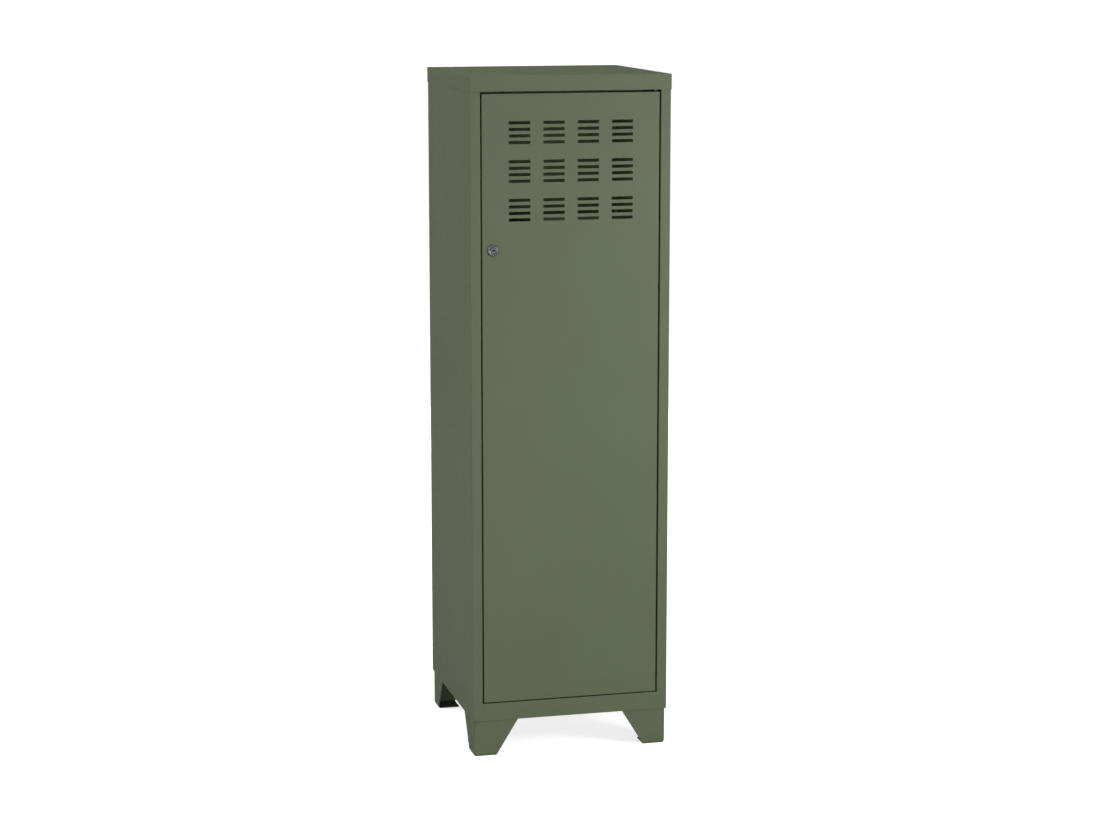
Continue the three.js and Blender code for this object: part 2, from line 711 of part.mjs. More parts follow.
function lockPlug() {
  const face = DOOR_FRONT - FIT - BEZEL + PLUG_RECESS;
  const shoulder = CAM_FRONT - FIT;
  const round = turned([
    [0, face],
    [PLUG_RADIUS, face],
    [PLUG_RADIUS, shoulder],
    [0, shoulder],
  ]).translate(LOCK_X, 0, LOCK_Z);
  const around = (centre, size) => [centre - size / 2, centre + size / 2];
  const tenon = block(around(LOCK_X, TENON), [shoulder - CAM, CAM_REAR], around(LOCK_Z, TENON));
  const keyhole = block(
    around(LOCK_X, KEYHOLE_LENGTH),
    [face - KEYHOLE_DEPTH, face + KEYHOLE_DEPTH],
    around(LOCK_Z, KEYHOLE_WIDTH),
  );
  const threaded = [CAM_REAR - CAM_SCREW.length, CAM_REAR + CAM];
  const thread = holeY(LOCK_X, LOCK_Z, CAM_SCREW.shank + PLAY, threaded);
  return surface(cut(join(solid(round), [tenon]), [keyhole, thread]));
}

// The cam hangs down when the lock is open.
function lockCam() {
  const half = CAM_WIDTH / 2;
  const tip = CAM_REACH - CAM_TIP_RADIUS;
  const edge = half - CAM_TIP_RADIUS;
  const shape = new THREE.Shape();
  shape.absarc(0, 0, half, 0, Math.PI);
  shape.absarc(-edge, -tip, CAM_TIP_RADIUS, Math.PI, 1.5 * Math.PI);
  shape.absarc(edge, -tip, CAM_TIP_RADIUS, 1.5 * Math.PI, 2 * Math.PI);
  const hole = TENON / 2 + PLAY;
  const plate = alongY(shape, CAM_FRONT, CAM_REAR);
  const square = block([-hole, hole], [CAM_FRONT - CAM, CAM_REAR + CAM], [-hole, hole]);
  return surface(plate.subtract(square)).translate(LOCK_X, 0, LOCK_Z);
}

// Shelf, rail and buffers

function shelf() {
  const top = SHELF_TOP - SHEET / 2;
  const hem = SHELF_TOP - SHELF_FLANGE + SHEET / 2;
  const front = SHELF_FRONT + SHEET / 2;
  const rear = SHELF_REAR - SHEET / 2;
  const section = foldedSection([
    [SHELF_FRONT + SHELF_HEM, hem],
    [front, hem],
    [front, top],
    [rear, top],
    [rear, SHELF_TOP - SHELF_FLANGE],
  ]);
  const half = INNER_X - SHELF_SIDE_GAP;
  const through = [SHELF_TOP - 2 * SHEET, SHELF_TOP + SHEET];
  const cutters = [];
  for (const [, side] of BOTH_SIDES) {
    for (const y of SHELF_SCREW_YS) {
      cutters.push(holeZ(side * SHELF_SCREW_X, y, SHELF_SCREW.shank + PLAY, through));
    }
  }
  return surface(cut(alongX(section, -half, half), cutters));
}

// The bracket on the lock side. The one on the hinge side is its mirror image.
function shelfBracket() {
  const leg = BRACKET_X - SHEET / 2;
  const top = SHELF_UNDERSIDE - FIT;
  const section = foldedSection([
    [-leg, top - BRACKET_LEG],
    [-leg, top - SHEET / 2],
    [-BRACKET_X + BRACKET_LEG, top - SHEET / 2],
  ]);
  const bracket = alongY(section, SHELF_FRONT + BRACKET_SETBACK, SHELF_REAR - BRACKET_SETBACK);
  const through = [top - 2 * SHEET, top + SHEET];
  const cutters = SHELF_SCREW_YS.map((y) => {
    return holeZ(-SHELF_SCREW_X, y, SHELF_SCREW.shank + PLAY, through);
  });
  return surface(cut(bracket, cutters));
}

function hangingRail() {
  const ring = new THREE.Shape().absarc(RAIL_Y, RAIL_Z, RAIL_RADIUS, 0, 2 * Math.PI);
  ring.holes.push(new THREE.Path().absarc(RAIL_Y, RAIL_Z, RAIL_RADIUS - RAIL_WALL, 0, 2 * Math.PI));
  return surface(alongX(ring, -RAIL_HALF, RAIL_HALF));
}

// A cup for the rail's end, along X from the wall it sits on.
function railSocket() {
  const bore = RAIL_RADIUS + FIT;
  return turned([
    [0, 0],
    [SOCKET_FLANGE_RADIUS, 0],
    [SOCKET_FLANGE_RADIUS, SOCKET_WALL],
    [bore + SOCKET_WALL, SOCKET_WALL],
    [bore + SOCKET_WALL, SOCKET_REACH],
    [bore, SOCKET_REACH],
    [bore, SOCKET_WALL],
    [0, SOCKET_WALL],
  ]).rotateZ(-Math.PI / 2);
}

// A rubber stop round the Y axis, with its seat on the flange at the origin and its stem behind.
function doorBuffer() {
  const barb = SHEET + 2 * FIT;
  const profile = [
    [0, -BUFFER],
    [BUFFER_RADIUS - BUFFER_ROUND, -BUFFER],
    [BUFFER_RADIUS, -BUFFER + BUFFER_ROUND],
    [BUFFER_RADIUS, 0],
    [BUFFER_STEM_RADIUS, 0],
    [BUFFER_STEM_RADIUS, barb],
    [BUFFER_STEM_RADIUS + BUFFER_BARB, barb],
    [BUFFER_STEM_RADIUS, barb + BUFFER_TAIL],
    [0, barb + BUFFER_TAIL],
  ];
  return turned(profile, SIDES);
}

// A set rivet round the Y axis, with the seat of its head at the origin and its tail towards -Y.
function backRivet() {
  const grip = BODY_Y - BACK_FRONT + 2 * FIT;
  const profile = [
    [0, -grip - RIVET.tailHeight],
    [RIVET.tail, -grip - RIVET.tailHeight],
    [RIVET.tail, -grip],
    [RIVET.shank, -grip],
    [RIVET.shank, 0],
    [RIVET.head, 0],
    [RIVET.head - RIVET.height, RIVET.height],
    [0, RIVET.height],
  ];
  return turned(profile, SIDES);
}

// Assembly

function carcass() {
  const group = new THREE.Group();
  piece(group, 'side_panel_left', sidePanel(true), paint());
  piece(group, 'side_panel_right', sidePanel(false), paint()).scale.x = -1;
  piece(group, 'back_panel', backPanel(), paint());
  piece(group, 'floor_tray', floorTray(), paint());
  piece(group, 'header_rail', headerRail(), paint());
  piece(group, 'top_cap', topCap(), paint());

  FOOT_CORNERS.forEach(([place, right, back], quarter) => {
    const corner = new THREE.Group();
    corner.position.set(right * FOOT_X, back * FOOT_Y, 0);
    corner.rotation.z = (quarter * Math.PI) / 2;
    piece(corner, `foot_${place}`, foot(), paint());
    FOOT_BOLTS.forEach(([x, y], index) => {
      const bolt = piece(corner, `foot_bolt_${place}_${index + 1}`, screw(FOOT_BOLT), zinc());
      bolt.position.set(x, y, FLOOR_TOP + FIT);
      bolt.rotation.x = Math.PI / 2;
    });
    group.add(corner);
  });

  for (const [place, side] of BOTH_SIDES) {
    RIVET_HEIGHTS.forEach((z, row) => {
      const rivet = piece(group, `back_rivet_${place}_${row + 1}`, backRivet(), paint());
      rivet.position.set(side * RIVET_X, BODY_Y + FIT, z);
    });
    for (const [end, rear] of BOTH_ENDS) {
      const fixing = piece(group, `cap_screw_${end}_${place}`, screw(CAP_SCREW), zinc());
      fixing.position.set(side * CAP_SCREW_X, rear ? CAP_SCREW_Y : -CAP_SCREW_Y, BODY_TOP - SHEET - FIT);
      fixing.rotation.x = -Math.PI / 2;
    }
  }

  const pinThrough = SHEET + 2 * FIT;
  const upperPin = piece(group, 'pivot_pin_upper', pivotPin(pinThrough + HEAD_GAP + PIN_REACH), zinc());
  upperPin.position.set(PIVOT_X, PIVOT_Y, OPENING_TOP + SHEET + FIT);
  upperPin.rotation.x = Math.PI / 2;
  const lowerPin = piece(group, 'pivot_pin_lower', pivotPin(pinThrough + SILL_GAP + PIN_REACH), zinc());
  lowerPin.position.set(PIVOT_X, PIVOT_Y, FLOOR_TOP - SHEET - FIT);
  lowerPin.rotation.x = -Math.PI / 2;
  return group;
}

function fittings() {
  const group = new THREE.Group();
  piece(group, 'shelf', shelf(), paint());
  piece(group, 'hanging_rail', hangingRail(), chrome());
  for (const [place, side] of BOTH_SIDES) {
    piece(group, `shelf_bracket_${place}`, shelfBracket(), paint()).scale.x = -side;
    for (const [end, rear] of BOTH_ENDS) {
      const fixing = piece(group, `shelf_screw_${end}_${place}`, screw(SHELF_SCREW), zinc());
      fixing.position.set(side * SHELF_SCREW_X, SHELF_SCREW_YS[rear], SHELF_TOP + FIT);
      fixing.rotation.x = Math.PI / 2;
    }
    const socket = piece(group, `rail_socket_${place}`, railSocket(), nylon());
    socket.position.set(side * (INNER_X - FIT), RAIL_Y, RAIL_Z);
    socket.rotation.z = side > 0 ? Math.PI : 0;
  }
  BUFFER_HEIGHTS.forEach((z, index) => {
    const name = index ? 'door_buffer_upper' : 'door_buffer_lower';
    piece(group, name, doorBuffer(), rubber()).position.set(BUFFER_X, STRIKE_FRONT - FIT, z);
  });
  return group;
}

function door() {
  const group = new THREE.Group();
  piece(group, 'door_pan', doorPan(), paint());
  piece(group, 'door_stiffener', doorStiffener(), paint());
  const upperBush = piece(group, 'pivot_bush_upper', pivotBush(), nylon());
  upperBush.position.set(PIVOT_X, PIVOT_Y, DOOR_TOP + FIT);
  upperBush.rotation.x = Math.PI / 2;
  const lowerBush = piece(group, 'pivot_bush_lower', pivotBush(), nylon());
  lowerBush.position.set(PIVOT_X, PIVOT_Y, DOOR_BOTTOM - FIT);
  lowerBush.rotation.x = -Math.PI / 2;
  piece(group, 'lock_body', lockBody(), chrome());
  piece(group, 'lock_nut', lockNut(), zinc());
  return group;
}

function lockCylinder() {
  const group = new THREE.Group();
  piece(group, 'lock_plug', lockPlug(), chrome());
  piece(group, 'lock_cam', lockCam(), zinc());
  const fixing = piece(group, 'cam_screw', screw(CAM_SCREW), zinc());
  fixing.position.set(LOCK_X, CAM_REAR + FIT, LOCK_Z);
  return group;
}

const locker = new THREE.Group();
locker.add(carcass(), fittings(), door(), lockCylinder());

export default locker;
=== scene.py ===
"""Looks of a single-door steel locker: folded sheet under powder coat, with a plated cam lock."""
import logging
import math
from dataclasses import dataclass
from enum import Enum
from typing import Callable, ClassVar, Sequence

import bmesh
import bpy
from mathutils import Matrix, Vector


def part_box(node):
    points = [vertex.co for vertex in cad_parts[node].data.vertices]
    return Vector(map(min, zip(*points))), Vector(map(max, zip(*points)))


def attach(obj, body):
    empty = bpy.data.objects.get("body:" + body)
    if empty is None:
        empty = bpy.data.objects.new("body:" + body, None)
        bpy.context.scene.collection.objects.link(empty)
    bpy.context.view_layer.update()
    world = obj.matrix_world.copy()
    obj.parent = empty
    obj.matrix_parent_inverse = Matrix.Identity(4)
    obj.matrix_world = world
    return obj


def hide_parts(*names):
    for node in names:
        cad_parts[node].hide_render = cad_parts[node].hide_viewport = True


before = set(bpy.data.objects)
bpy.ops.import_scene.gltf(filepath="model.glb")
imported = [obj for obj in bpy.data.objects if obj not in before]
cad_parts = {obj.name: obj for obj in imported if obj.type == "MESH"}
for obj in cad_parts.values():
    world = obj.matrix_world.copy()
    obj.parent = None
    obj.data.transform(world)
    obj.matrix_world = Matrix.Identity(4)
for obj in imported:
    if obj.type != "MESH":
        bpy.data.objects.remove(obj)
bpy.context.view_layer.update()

LOG = logging.getLogger("locker")
MM = 0.001
RIGHT_ANGLE = math.pi / 2
FOLD_ANGLE = math.radians(60)
RIM_ANGLE = math.radians(50)
RIM_STEPS = 2
RIM = 0.2
FINE_RIM = 0.1
SCREW_RIM = 0.08
LOCK_RIM = 0.06
RIVET_RIM = 0.05
NOISE_SPAN = (0.3, 0.7)
WHITE = (1, 1, 1, 1)
SQUARE_CORNERS = ((1, 1), (-1, 1), (-1, -1), (1, -1))

Point = Sequence[float]
Limits = tuple[float, float]
Triple = tuple[float, float, float]
Profile = Sequence[Limits]
Stops = Sequence[float]
Place = Callable[[float, float], Vector]
Keep = Callable[[float, float], bool]
Socket = bpy.types.NodeSocket
Piece = bpy.types.Object


class Body(Enum):
    """The moving bodies of the locker."""

    CARCASS = "carcass"
    DOOR = "door"
    LOCK = "lock_cylinder"


class Axis(Enum):
    """A row axis, which folded sections are drawn along and flat sheets lie across."""

    X = 0
    Y = 1
    Z = 2

    def place(self, section: Point, station: float) -> Vector:
        """Returns the point at a station along the axis, from its places in the two other axes in order."""
        return Vector((*section[: self.value], station, *section[self.value :]))

    def plane(self, station: float) -> Place:
        """Returns what puts places in the two other axes on the plane at a station."""
        return lambda *section: self.place(section, station)


class Outline(Enum):
    """The outline of one ring of a turned piece."""

    ROUND = "round"
    HEX = "hex"
    SQUARE = "square"
    LOBED = "lobed"

    def reach(self, angle: float) -> float:
        """Gives the distance from the axis at an angle, for a ring of size 1.

        Args:
            angle: The direction round the axis, in radians.

        Returns:
            A factor on the ring's radius. The radius of a square is half its side.
        """
        if self is Outline.HEX:
            sixth = math.pi / 3
            return math.cos(sixth / 2) / math.cos((angle + sixth / 2) % sixth - sixth / 2)
        if self is Outline.SQUARE:
            return 1 / max(abs(math.cos(angle)), abs(math.sin(angle)))
        if self is Outline.LOBED:
            lobes, height = 6, 0.13
            return 1 + height * math.cos(lobes * angle)
        return 1.0


class NodeTree:
    """A short way to wire the nodes of a material or a world."""

    def __init__(self, owner: bpy.types.Material | bpy.types.World) -> None:
        """Clears the nodes.

        Args:
            owner: The material or world to wire.
        """
        owner.use_nodes = True
        self.tree = owner.node_tree
        self.tree.nodes.clear()
        kind = "World" if isinstance(owner, bpy.types.World) else "Material"
        self.output = self.tree.nodes.new(f"ShaderNodeOutput{kind}")

    def add(self, kind: str, **values: object) -> bpy.types.Node:
        """Adds a node.

        Args:
            kind: The node's type name.
            values: Values or linked sockets for its inputs, with _ for a space in a name.

        Returns:
            The new node.
        """
        node = self.tree.nodes.new(kind)
        for name, value in values.items():
            socket = node.inputs[name.replace("_", " ")]
            if isinstance(value, Socket):
                self.tree.links.new(value, socket)
            else:
                socket.default_value = value
        return node

    def place(self) -> Socket:
        """Returns the point on the piece, in metres of its own frame."""
        return self.add("ShaderNodeTexCoord").outputs["Object"]

    def noise(self, scale: float, detail: float = 2.0, place: Socket | None = None) -> Socket:
        """Returns a noise of that many cells in a metre, or in a unit of a place that is given."""
        node = self.add("ShaderNodeTexNoise", Vector=place or self.place(), Scale=scale, Detail=detail)
        return node.outputs["Fac"]

    def ranged(self, factor: Socket, low: float, high: float, span: Limits = NOISE_SPAN) -> Socket:
        """Spreads a stretch of a factor between two values.

        Args:
            factor: The factor, such as a noise.
            low: The value at the start of the stretch.
            high: The value at its end.
            span: The factors where the stretch starts and ends.

        Returns:
            The value.
        """
        ends = {"From_Min": span[0], "From_Max": span[1], "To_Min": low, "To_Max": high}
        return self.add("ShaderNodeMapRange", Value=factor, **ends).outputs["Result"]

    def blended(self, factor: Socket, first: Point, second: Point) -> Socket:
        """Blends two colours by a noise.

        Args:
            factor: The noise.
            first: The colour for a low noise.
            second: The colour for a high noise.

        Returns:
            The colour.
        """
        ramp = self.add("ShaderNodeValToRGB", Fac=factor)
        low, high = ramp.color_ramp.elements
        low.position, high.position = NOISE_SPAN
        low.color = (*first, 1)
        high.color = (*second, 1)
        return ramp.outputs["Color"]

    def bump(self, height: Socket, depth: float, strength: float) -> Socket:
        """Turns a height into a surface normal."""
        node = self.add("ShaderNodeBump", Height=height, Distance=depth, Strength=strength)
        return node.outputs["Normal"]

    def seen_or_lit(self, seen: Socket, lit: Socket) -> Socket:
        """Gives the eye one shader and the light in the studio another.

        Args:
            seen: The shader that is looked at.
            lit: The shader that light and bounces meet.

        Returns:
            The mixed shader.
        """
        mix = self.add("ShaderNodeMixShader", Fac=self.add("ShaderNodeLightPath").outputs["Is Camera Ray"])
        self.tree.links.new(lit, mix.inputs[1])
        self.tree.links.new(seen, mix.inputs[2])
        return mix.outputs["Shader"]

    def finish(self, shader: Socket) -> None:
        """Wires a shader to the surface."""
        self.tree.links.new(shader, self.output.inputs["Surface"])


@dataclass(frozen=True)
class Finish:
    """A surface, made as a material once: patches of two tints, an uneven gloss and a fine grain."""

    name: str
    slot: str
    colour: Triple
    roughness: Limits
    grain: float | Triple
    grain_depth: float

    GRAIN_STRENGTH: ClassVar[float]
    TINTS: ClassVar[Limits]
    PATCHES: ClassVar[Limits]
    GLOSS_SCALE: ClassVar[float | None] = None
    METALLIC: ClassVar[float] = 0.0
    IOR: ClassVar[float] = 1.5

    def relief(self, nodes: NodeTree) -> Socket:
        """Returns the height of the grain."""
        return nodes.noise(self.grain)

    def tint(self, factor: float) -> Triple:
        """Returns the colour made deeper or paler by a factor."""
        return tuple(value * factor for value in self.colour)

    def material(self) -> bpy.types.Material:
        """Makes the material, or finds the one that is there.

        Returns:
            The material.
        """
        if self.name in bpy.data.materials:
            return bpy.data.materials[self.name]
        material = bpy.data.materials.new(self.name)
        nodes = NodeTree(material)
        relief = self.relief(nodes)
        gloss = nodes.noise(self.GLOSS_SCALE) if self.GLOSS_SCALE else relief
        low, high = self.TINTS
        shader = nodes.add(
            "ShaderNodeBsdfPrincipled",
            Base_Color=nodes.blended(nodes.noise(*self.PATCHES), self.tint(low), self.tint(high)),
            Roughness=nodes.ranged(gloss, *self.roughness),
            Normal=nodes.bump(relief, self.grain_depth, self.GRAIN_STRENGTH),
            Metallic=self.METALLIC,
            IOR=self.IOR,
        )
        nodes.finish(shader.outputs["BSDF"])
        return material


@dataclass(frozen=True)
class PowderCoat(Finish):
    """Satin paint baked on steel, with the soft dimples of sprayed powder and a slow drift of colour."""

    GRAIN_STRENGTH = 0.5
    TINTS = (0.97, 1.03)
    PATCHES = (5.0, 4.0)
    GLOSS_SCALE = 160.0
    IOR = 1.45


@dataclass(frozen=True)
class PlatedMetal(Finish):
    """Plated metal with fine marks of drawing or brushing along one axis, and small dull patches."""

    GRAIN_STRENGTH = 0.35
    TINTS = (0.86, 1.0)
    PATCHES = (220.0, 3.0)
    METALLIC = 1.0

    def relief(self, nodes: NodeTree) -> Socket:
        """Returns the height of the grain, stretched along the axis of the marks."""
        mapping = nodes.add("ShaderNodeMapping", Vector=nodes.place(), Scale=self.grain)
        return nodes.noise(1.0, 3.0, mapping.outputs["Vector"])


@dataclass(frozen=True)
class Moulding(Finish):
    """Moulded nylon or rubber, with a fine matt grain and paler worn patches."""

    GRAIN_STRENGTH = 0.4
    TINTS = (1.0, 1.35)
    PATCHES = (90.0, 4.0)
    GLOSS_SCALE = 400.0


EVEN_GRAIN = (900.0, 900.0, 900.0)
DRAWN_ALONG_X = (40.0, 1500.0, 1500.0)
TURNED_ABOUT_Y = (1200.0, 60.0, 1200.0)

OLIVE_COAT = PowderCoat(
    "painted_steel_coat", "painted_steel", (0.092, 0.116, 0.060), (0.46, 0.54), 1100.0, 0.00006
)
ZINC = PlatedMetal("zinc_plate", "zinc_steel", (0.55, 0.56, 0.55), (0.28, 0.42), EVEN_GRAIN, 0.00002)
DARK_ZINC = PlatedMetal("dark_zinc", "zinc_steel", (0.10, 0.10, 0.09), (0.4, 0.55), EVEN_GRAIN, 0.00002)
CHROME = PlatedMetal("chrome", "chromed_steel", (0.62, 0.63, 0.64), (0.08, 0.16), DRAWN_ALONG_X, 0.00001)
NICKEL = PlatedMetal("satin_nickel", "lock_zinc", (0.17, 0.18, 0.19), (0.30, 0.42), TURNED_ABOUT_Y, 0.00002)
NYLON = Moulding("nylon_moulding", "nylon", (0.020, 0.021, 0.022), (0.45, 0.6), 1500.0, 0.00003)
# Near-black painted shade for the keyhole's cut walls, standing in for the dark depth of the keyway rather
# than a dark moulding.
KEYWAY_SHADE = Moulding("keyway_painted_shade", "keyway", (0.004, 0.004, 0.004), (0.7, 0.85), 900.0, 0.00003)
RUBBER = Moulding(
    "buffer_rubber_moulding", "buffer_rubber", (0.012, 0.012, 0.012), (0.65, 0.8), 900.0, 0.00005
)


@dataclass(frozen=True)
class Sheet:
    """A gauge of sheet metal and how it is folded."""

    thickness: float
    fold: float
    rim: float
    fold_steps: int = 5


BODY_SHEET = Sheet(0.8 * MM, 1.6 * MM, 0.15 * MM)
FOOT_SHEET = Sheet(2.0 * MM, 5.5 * MM, 0.35 * MM, 7)


class Skin:
    """An open surface of flat panels: the outer side of a sheet, before it is folded."""

    def __init__(self) -> None:
        """Starts with no panel."""
        self.mesh = bmesh.new()
        self.corners: dict[tuple[float, ...], bmesh.types.BMVert] = {}

    def corner(self, point: Point) -> bmesh.types.BMVert:
        """Finds or makes the one vertex at a point.

        Args:
            point: The point in the row frame.

        Returns:
            The vertex.
        """
        key = tuple(round(value, 6) for value in point)
        if key not in self.corners:
            self.corners[key] = self.mesh.verts.new(key)
        return self.corners[key]

    def panel(self, *points: Point) -> None:
        """Adds one flat panel with those corners in turn."""
        self.mesh.faces.new([self.corner(point) for point in points])

    def lattice(self, place: Place, across: Stops, up: Stops, keep: Keep | None = None) -> None:
        """Adds a sheet in flat cells, so that cells can be left out.

        Args:
            place: Gives the point in the row frame for a place across and up.
            across: The cell edges across.
            up: The cell edges up.
            keep: Says if the cell round a middle point is there. All are, without it.
        """
        for left, right in zip(across, across[1:]):
            for low, high in zip(up, up[1:]):
                if keep is None or keep((left + right) / 2, (low + high) / 2):
                    self.panel(place(left, low), place(right, low), place(right, high), place(left, high))

    def swept(self, path: Sequence[Point], stations: Stops, axis: Axis, keep: Keep | None = None) -> None:
        """Adds a folded section along an axis, as cells between the corners of its path and the stations."""
        self.lattice(lambda run, station: axis.place(path[run], station), range(len(path)), stations, keep)

    def pierced(self, place: Place, centre: Point, half: float, radius: float) -> None:
        """Fills one square cell round a drilled hole.

        Args:
            place: Gives the point in the row frame for a place across and up.
            centre: The middle of the hole, across and up.
            half: Half the side of the cell.
            radius: The radius of the hole.
        """
        steps = 8
        corners = [place(*corner) for corner in square(centre, half)]
        for quarter in range(4):
            angles = [(quarter + 0.5 + (steps - step) / steps) * RIGHT_ANGLE for step in range(steps + 1)]
            arc = [place(*polar(centre, radius, angle)) for angle in angles]
            self.panel(corners[quarter], corners[(quarter + 1) % 4], *arc)

    def folded(self, name: str, sheet: Sheet, outside: Point) -> Piece:
        """Rounds the folds and gives the skin its thickness.

        Args:
            name: The piece's name.
            sheet: The gauge of the sheet.
            outside: The direction that the skin's main panel faces.

        Returns:
            The piece, in the row frame.
        """
        skin = self.mesh
        bmesh.ops.recalc_face_normals(skin, faces=skin.faces)
        outward = Vector(outside)
        main = max(skin.faces, key=lambda face: abs(face.normal.dot(outward)) * face.calc_area())
        if main.normal.dot(outward) < 0:
            bmesh.ops.reverse_faces(skin, faces=skin.faces)
        inner = [edge for edge in skin.edges if len(edge.link_faces) == 2]
        folds = [edge for edge in inner if edge.calc_face_angle() > FOLD_ANGLE]
        bmesh.ops.bevel(
            skin, geom=folds, offset=sheet.fold, offset_type="OFFSET", segments=sheet.fold_steps,
            profile=0.5, affect="EDGES", clamp_overlap=True,
        )
        piece = new_piece(name, skin)
        gauge = piece.modifiers.new("gauge", "SOLIDIFY")
        gauge.thickness = sheet.thickness
        gauge.offset = -1
        gauge.use_even_offset = True
        soften(piece, sheet.rim)
        return piece

    def sheet(self, node: str, outside: Point, body: Body = Body.CARCASS) -> None:
        """Folds the skin of coated body sheet, in place of a solid."""
        dress(self.folded(f"{node}_sheet", BODY_SHEET, outside), OLIVE_COAT, body, node)


@dataclass(frozen=True)
class Ring:
    """One ring of a turned piece, in millimetres: its radius, its height and its outline."""

    radius: float
    height: float
    outline: Outline = Outline.ROUND


def polar(centre: Point, radius: float, angle: float) -> Limits:
    """Returns the point at a radius and an angle round a centre."""
    return centre[0] + radius * math.cos(angle), centre[1] + radius * math.sin(angle)


def square(centre: Point, half: float) -> list[Limits]:
    """Returns the corners of a square round a centre, from half its side."""
    return [(centre[0] + x * half, centre[1] + y * half) for x, y in SQUARE_CORNERS]


def rings_of(profile: Profile, outline: Outline = Outline.ROUND) -> list[Ring]:
    """Returns the rings of a profile, which is pairs of a radius and a height."""
    return [Ring(radius, height, outline) for radius, height in profile]


def new_piece(name: str, mesh: bmesh.types.BMesh) -> Piece:
    """Makes an object of a finished mesh and links it.

    Args:
        name: The piece's name.
        mesh: The mesh, which is freed.

    Returns:
        The new object.
    """
    data = bpy.data.meshes.new(name)
    mesh.to_mesh(data)
    mesh.free()
    data.shade_smooth()
    piece = bpy.data.objects.new(name, data)
    bpy.context.scene.collection.objects.link(piece)
    return piece


def soften(piece: Piece, width: float) -> None:
    """Rounds the sharp edges of a piece and keeps its flat faces flat in the light.

    Args:
        piece: The piece.
        width: The width of the rounding.
    """
    rim = piece.modifiers.new("rim", "BEVEL")
    rim.width = width
    rim.segments = RIM_STEPS
    rim.limit_method = "ANGLE"
    rim.angle_limit = RIM_ANGLE
    rim.harden_normals = True
    light = piece.modifiers.new("flat_faces", "WEIGHTED_NORMAL")
    light.keep_sharp = True


def turned(name: str, rings: Sequence[Ring], seat: Point, axis: Point, rim: float = RIM) -> Piece:
    """Turns a piece from rings. It closes on itself where the last ring is the first one again.

    Args:
        name: The piece's name.
        rings: The rings in turn, up the outer side.
        seat: The point at height 0, in metres.
        axis: The direction of rising height.
        rim: The rounding of its edges, in millimetres.

    Returns:
        The piece, in the row frame.
    """
    sides = 48
    mesh = bmesh.new()
    loops = []
    tube = rings[0] == rings[-1]
    for ring in rings[:-1] if tube else rings:
        loop = []
        for side in range(sides):
            angle = 2 * math.pi * side / sides
            reach = ring.radius * ring.outline.reach(angle) * MM
            loop.append(mesh.verts.new((reach * math.cos(angle), reach * math.sin(angle), ring.height * MM)))
        loops.append(loop)
    if tube:
        loops.append(loops[0])
    else:
        mesh.faces.new(reversed(loops[0]))
        mesh.faces.new(loops[-1])
    for low, high in zip(loops, loops[1:]):
        for side in range(sides):
            after = (side + 1) % sides
            mesh.faces.new((low[side], low[after], high[after], high[side]))
    turn = Vector((0, 0, 1)).rotation_difference(Vector(axis)).to_matrix().to_4x4()
    bmesh.ops.transform(mesh, matrix=Matrix.Translation(Vector(seat)) @ turn, verts=mesh.verts)
    piece = new_piece(name, mesh)
    soften(piece, rim * MM)
    return piece


def dress(piece: Piece, finish: Finish, body: Body, *nodes: str) -> None:
    """Gives a piece its finish, its body and the solids that it stands for.

    Args:
        piece: The piece, in place.
        finish: Its finish.
        body: The body that it moves with.
        nodes: The solids that it stands for.
    """
    piece.data.materials.clear()
    piece.data.materials.append(finish.material())
    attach(piece, body.value)
    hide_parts(*nodes)
    LOG.info("%s rides on %s", piece.name, body.value)


def middle(node: str) -> Vector:
    """Returns the middle of a solid's box."""
    low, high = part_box(node)
    return (Vector(low) + Vector(high)) / 2


def seat_at(node: str, axis: Axis, station: float) -> Vector:
    """Returns the middle of a solid's box, moved to a station along an axis."""
    others = [value for index, value in enumerate(middle(node)) if index != axis.value]
    return axis.place(others, station)


def headed(node: str, suffix: str, profile: Profile, axis: Axis, rise: int, rim: float = RIM) -> Piece:
    """Turns a piece with its head at one end of its solid.

    Args:
        node: The solid that it stands for.
        suffix: The end of the piece's name.
        profile: Its profile, with height 0 under the head.
        axis: The axis that it lies along.
        rise: 1 for a head at the high end, -1 for one at the low end.
        rim: The rounding of its edges, in millimetres.

    Returns:
        The piece, in the row frame.
    """
    low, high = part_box(node)
    end = (high if rise > 0 else low)[axis.value]
    head = max(height for _, height in profile)
    seat = seat_at(node, axis, end - rise * head * MM)
    return turned(f"{node}_{suffix}", rings_of(profile), seat, axis.place((0, 0), rise), rim)


def cell_edges(edges: Stops) -> list[float]:
    """Returns cell edges in order, each once."""
    return sorted({round(value, 6) for value in edges})


def row(first: float, pitch: float, count: int) -> list[float]:
    """Returns places at an even pitch."""
    return [first + index * pitch for index in range(count)]


def edges_round(middles: Stops, width: float) -> list[float]:
    """Returns the two edges of the cell round each middle."""
    return [centre + side * width / 2 for centre in middles for side in (-1, 1)]


def within(value: float, middles: Stops, width: float) -> bool:
    """Says if a value is in the cell round one of the middles."""
    return any(abs(value - centre) < width / 2 for centre in middles)


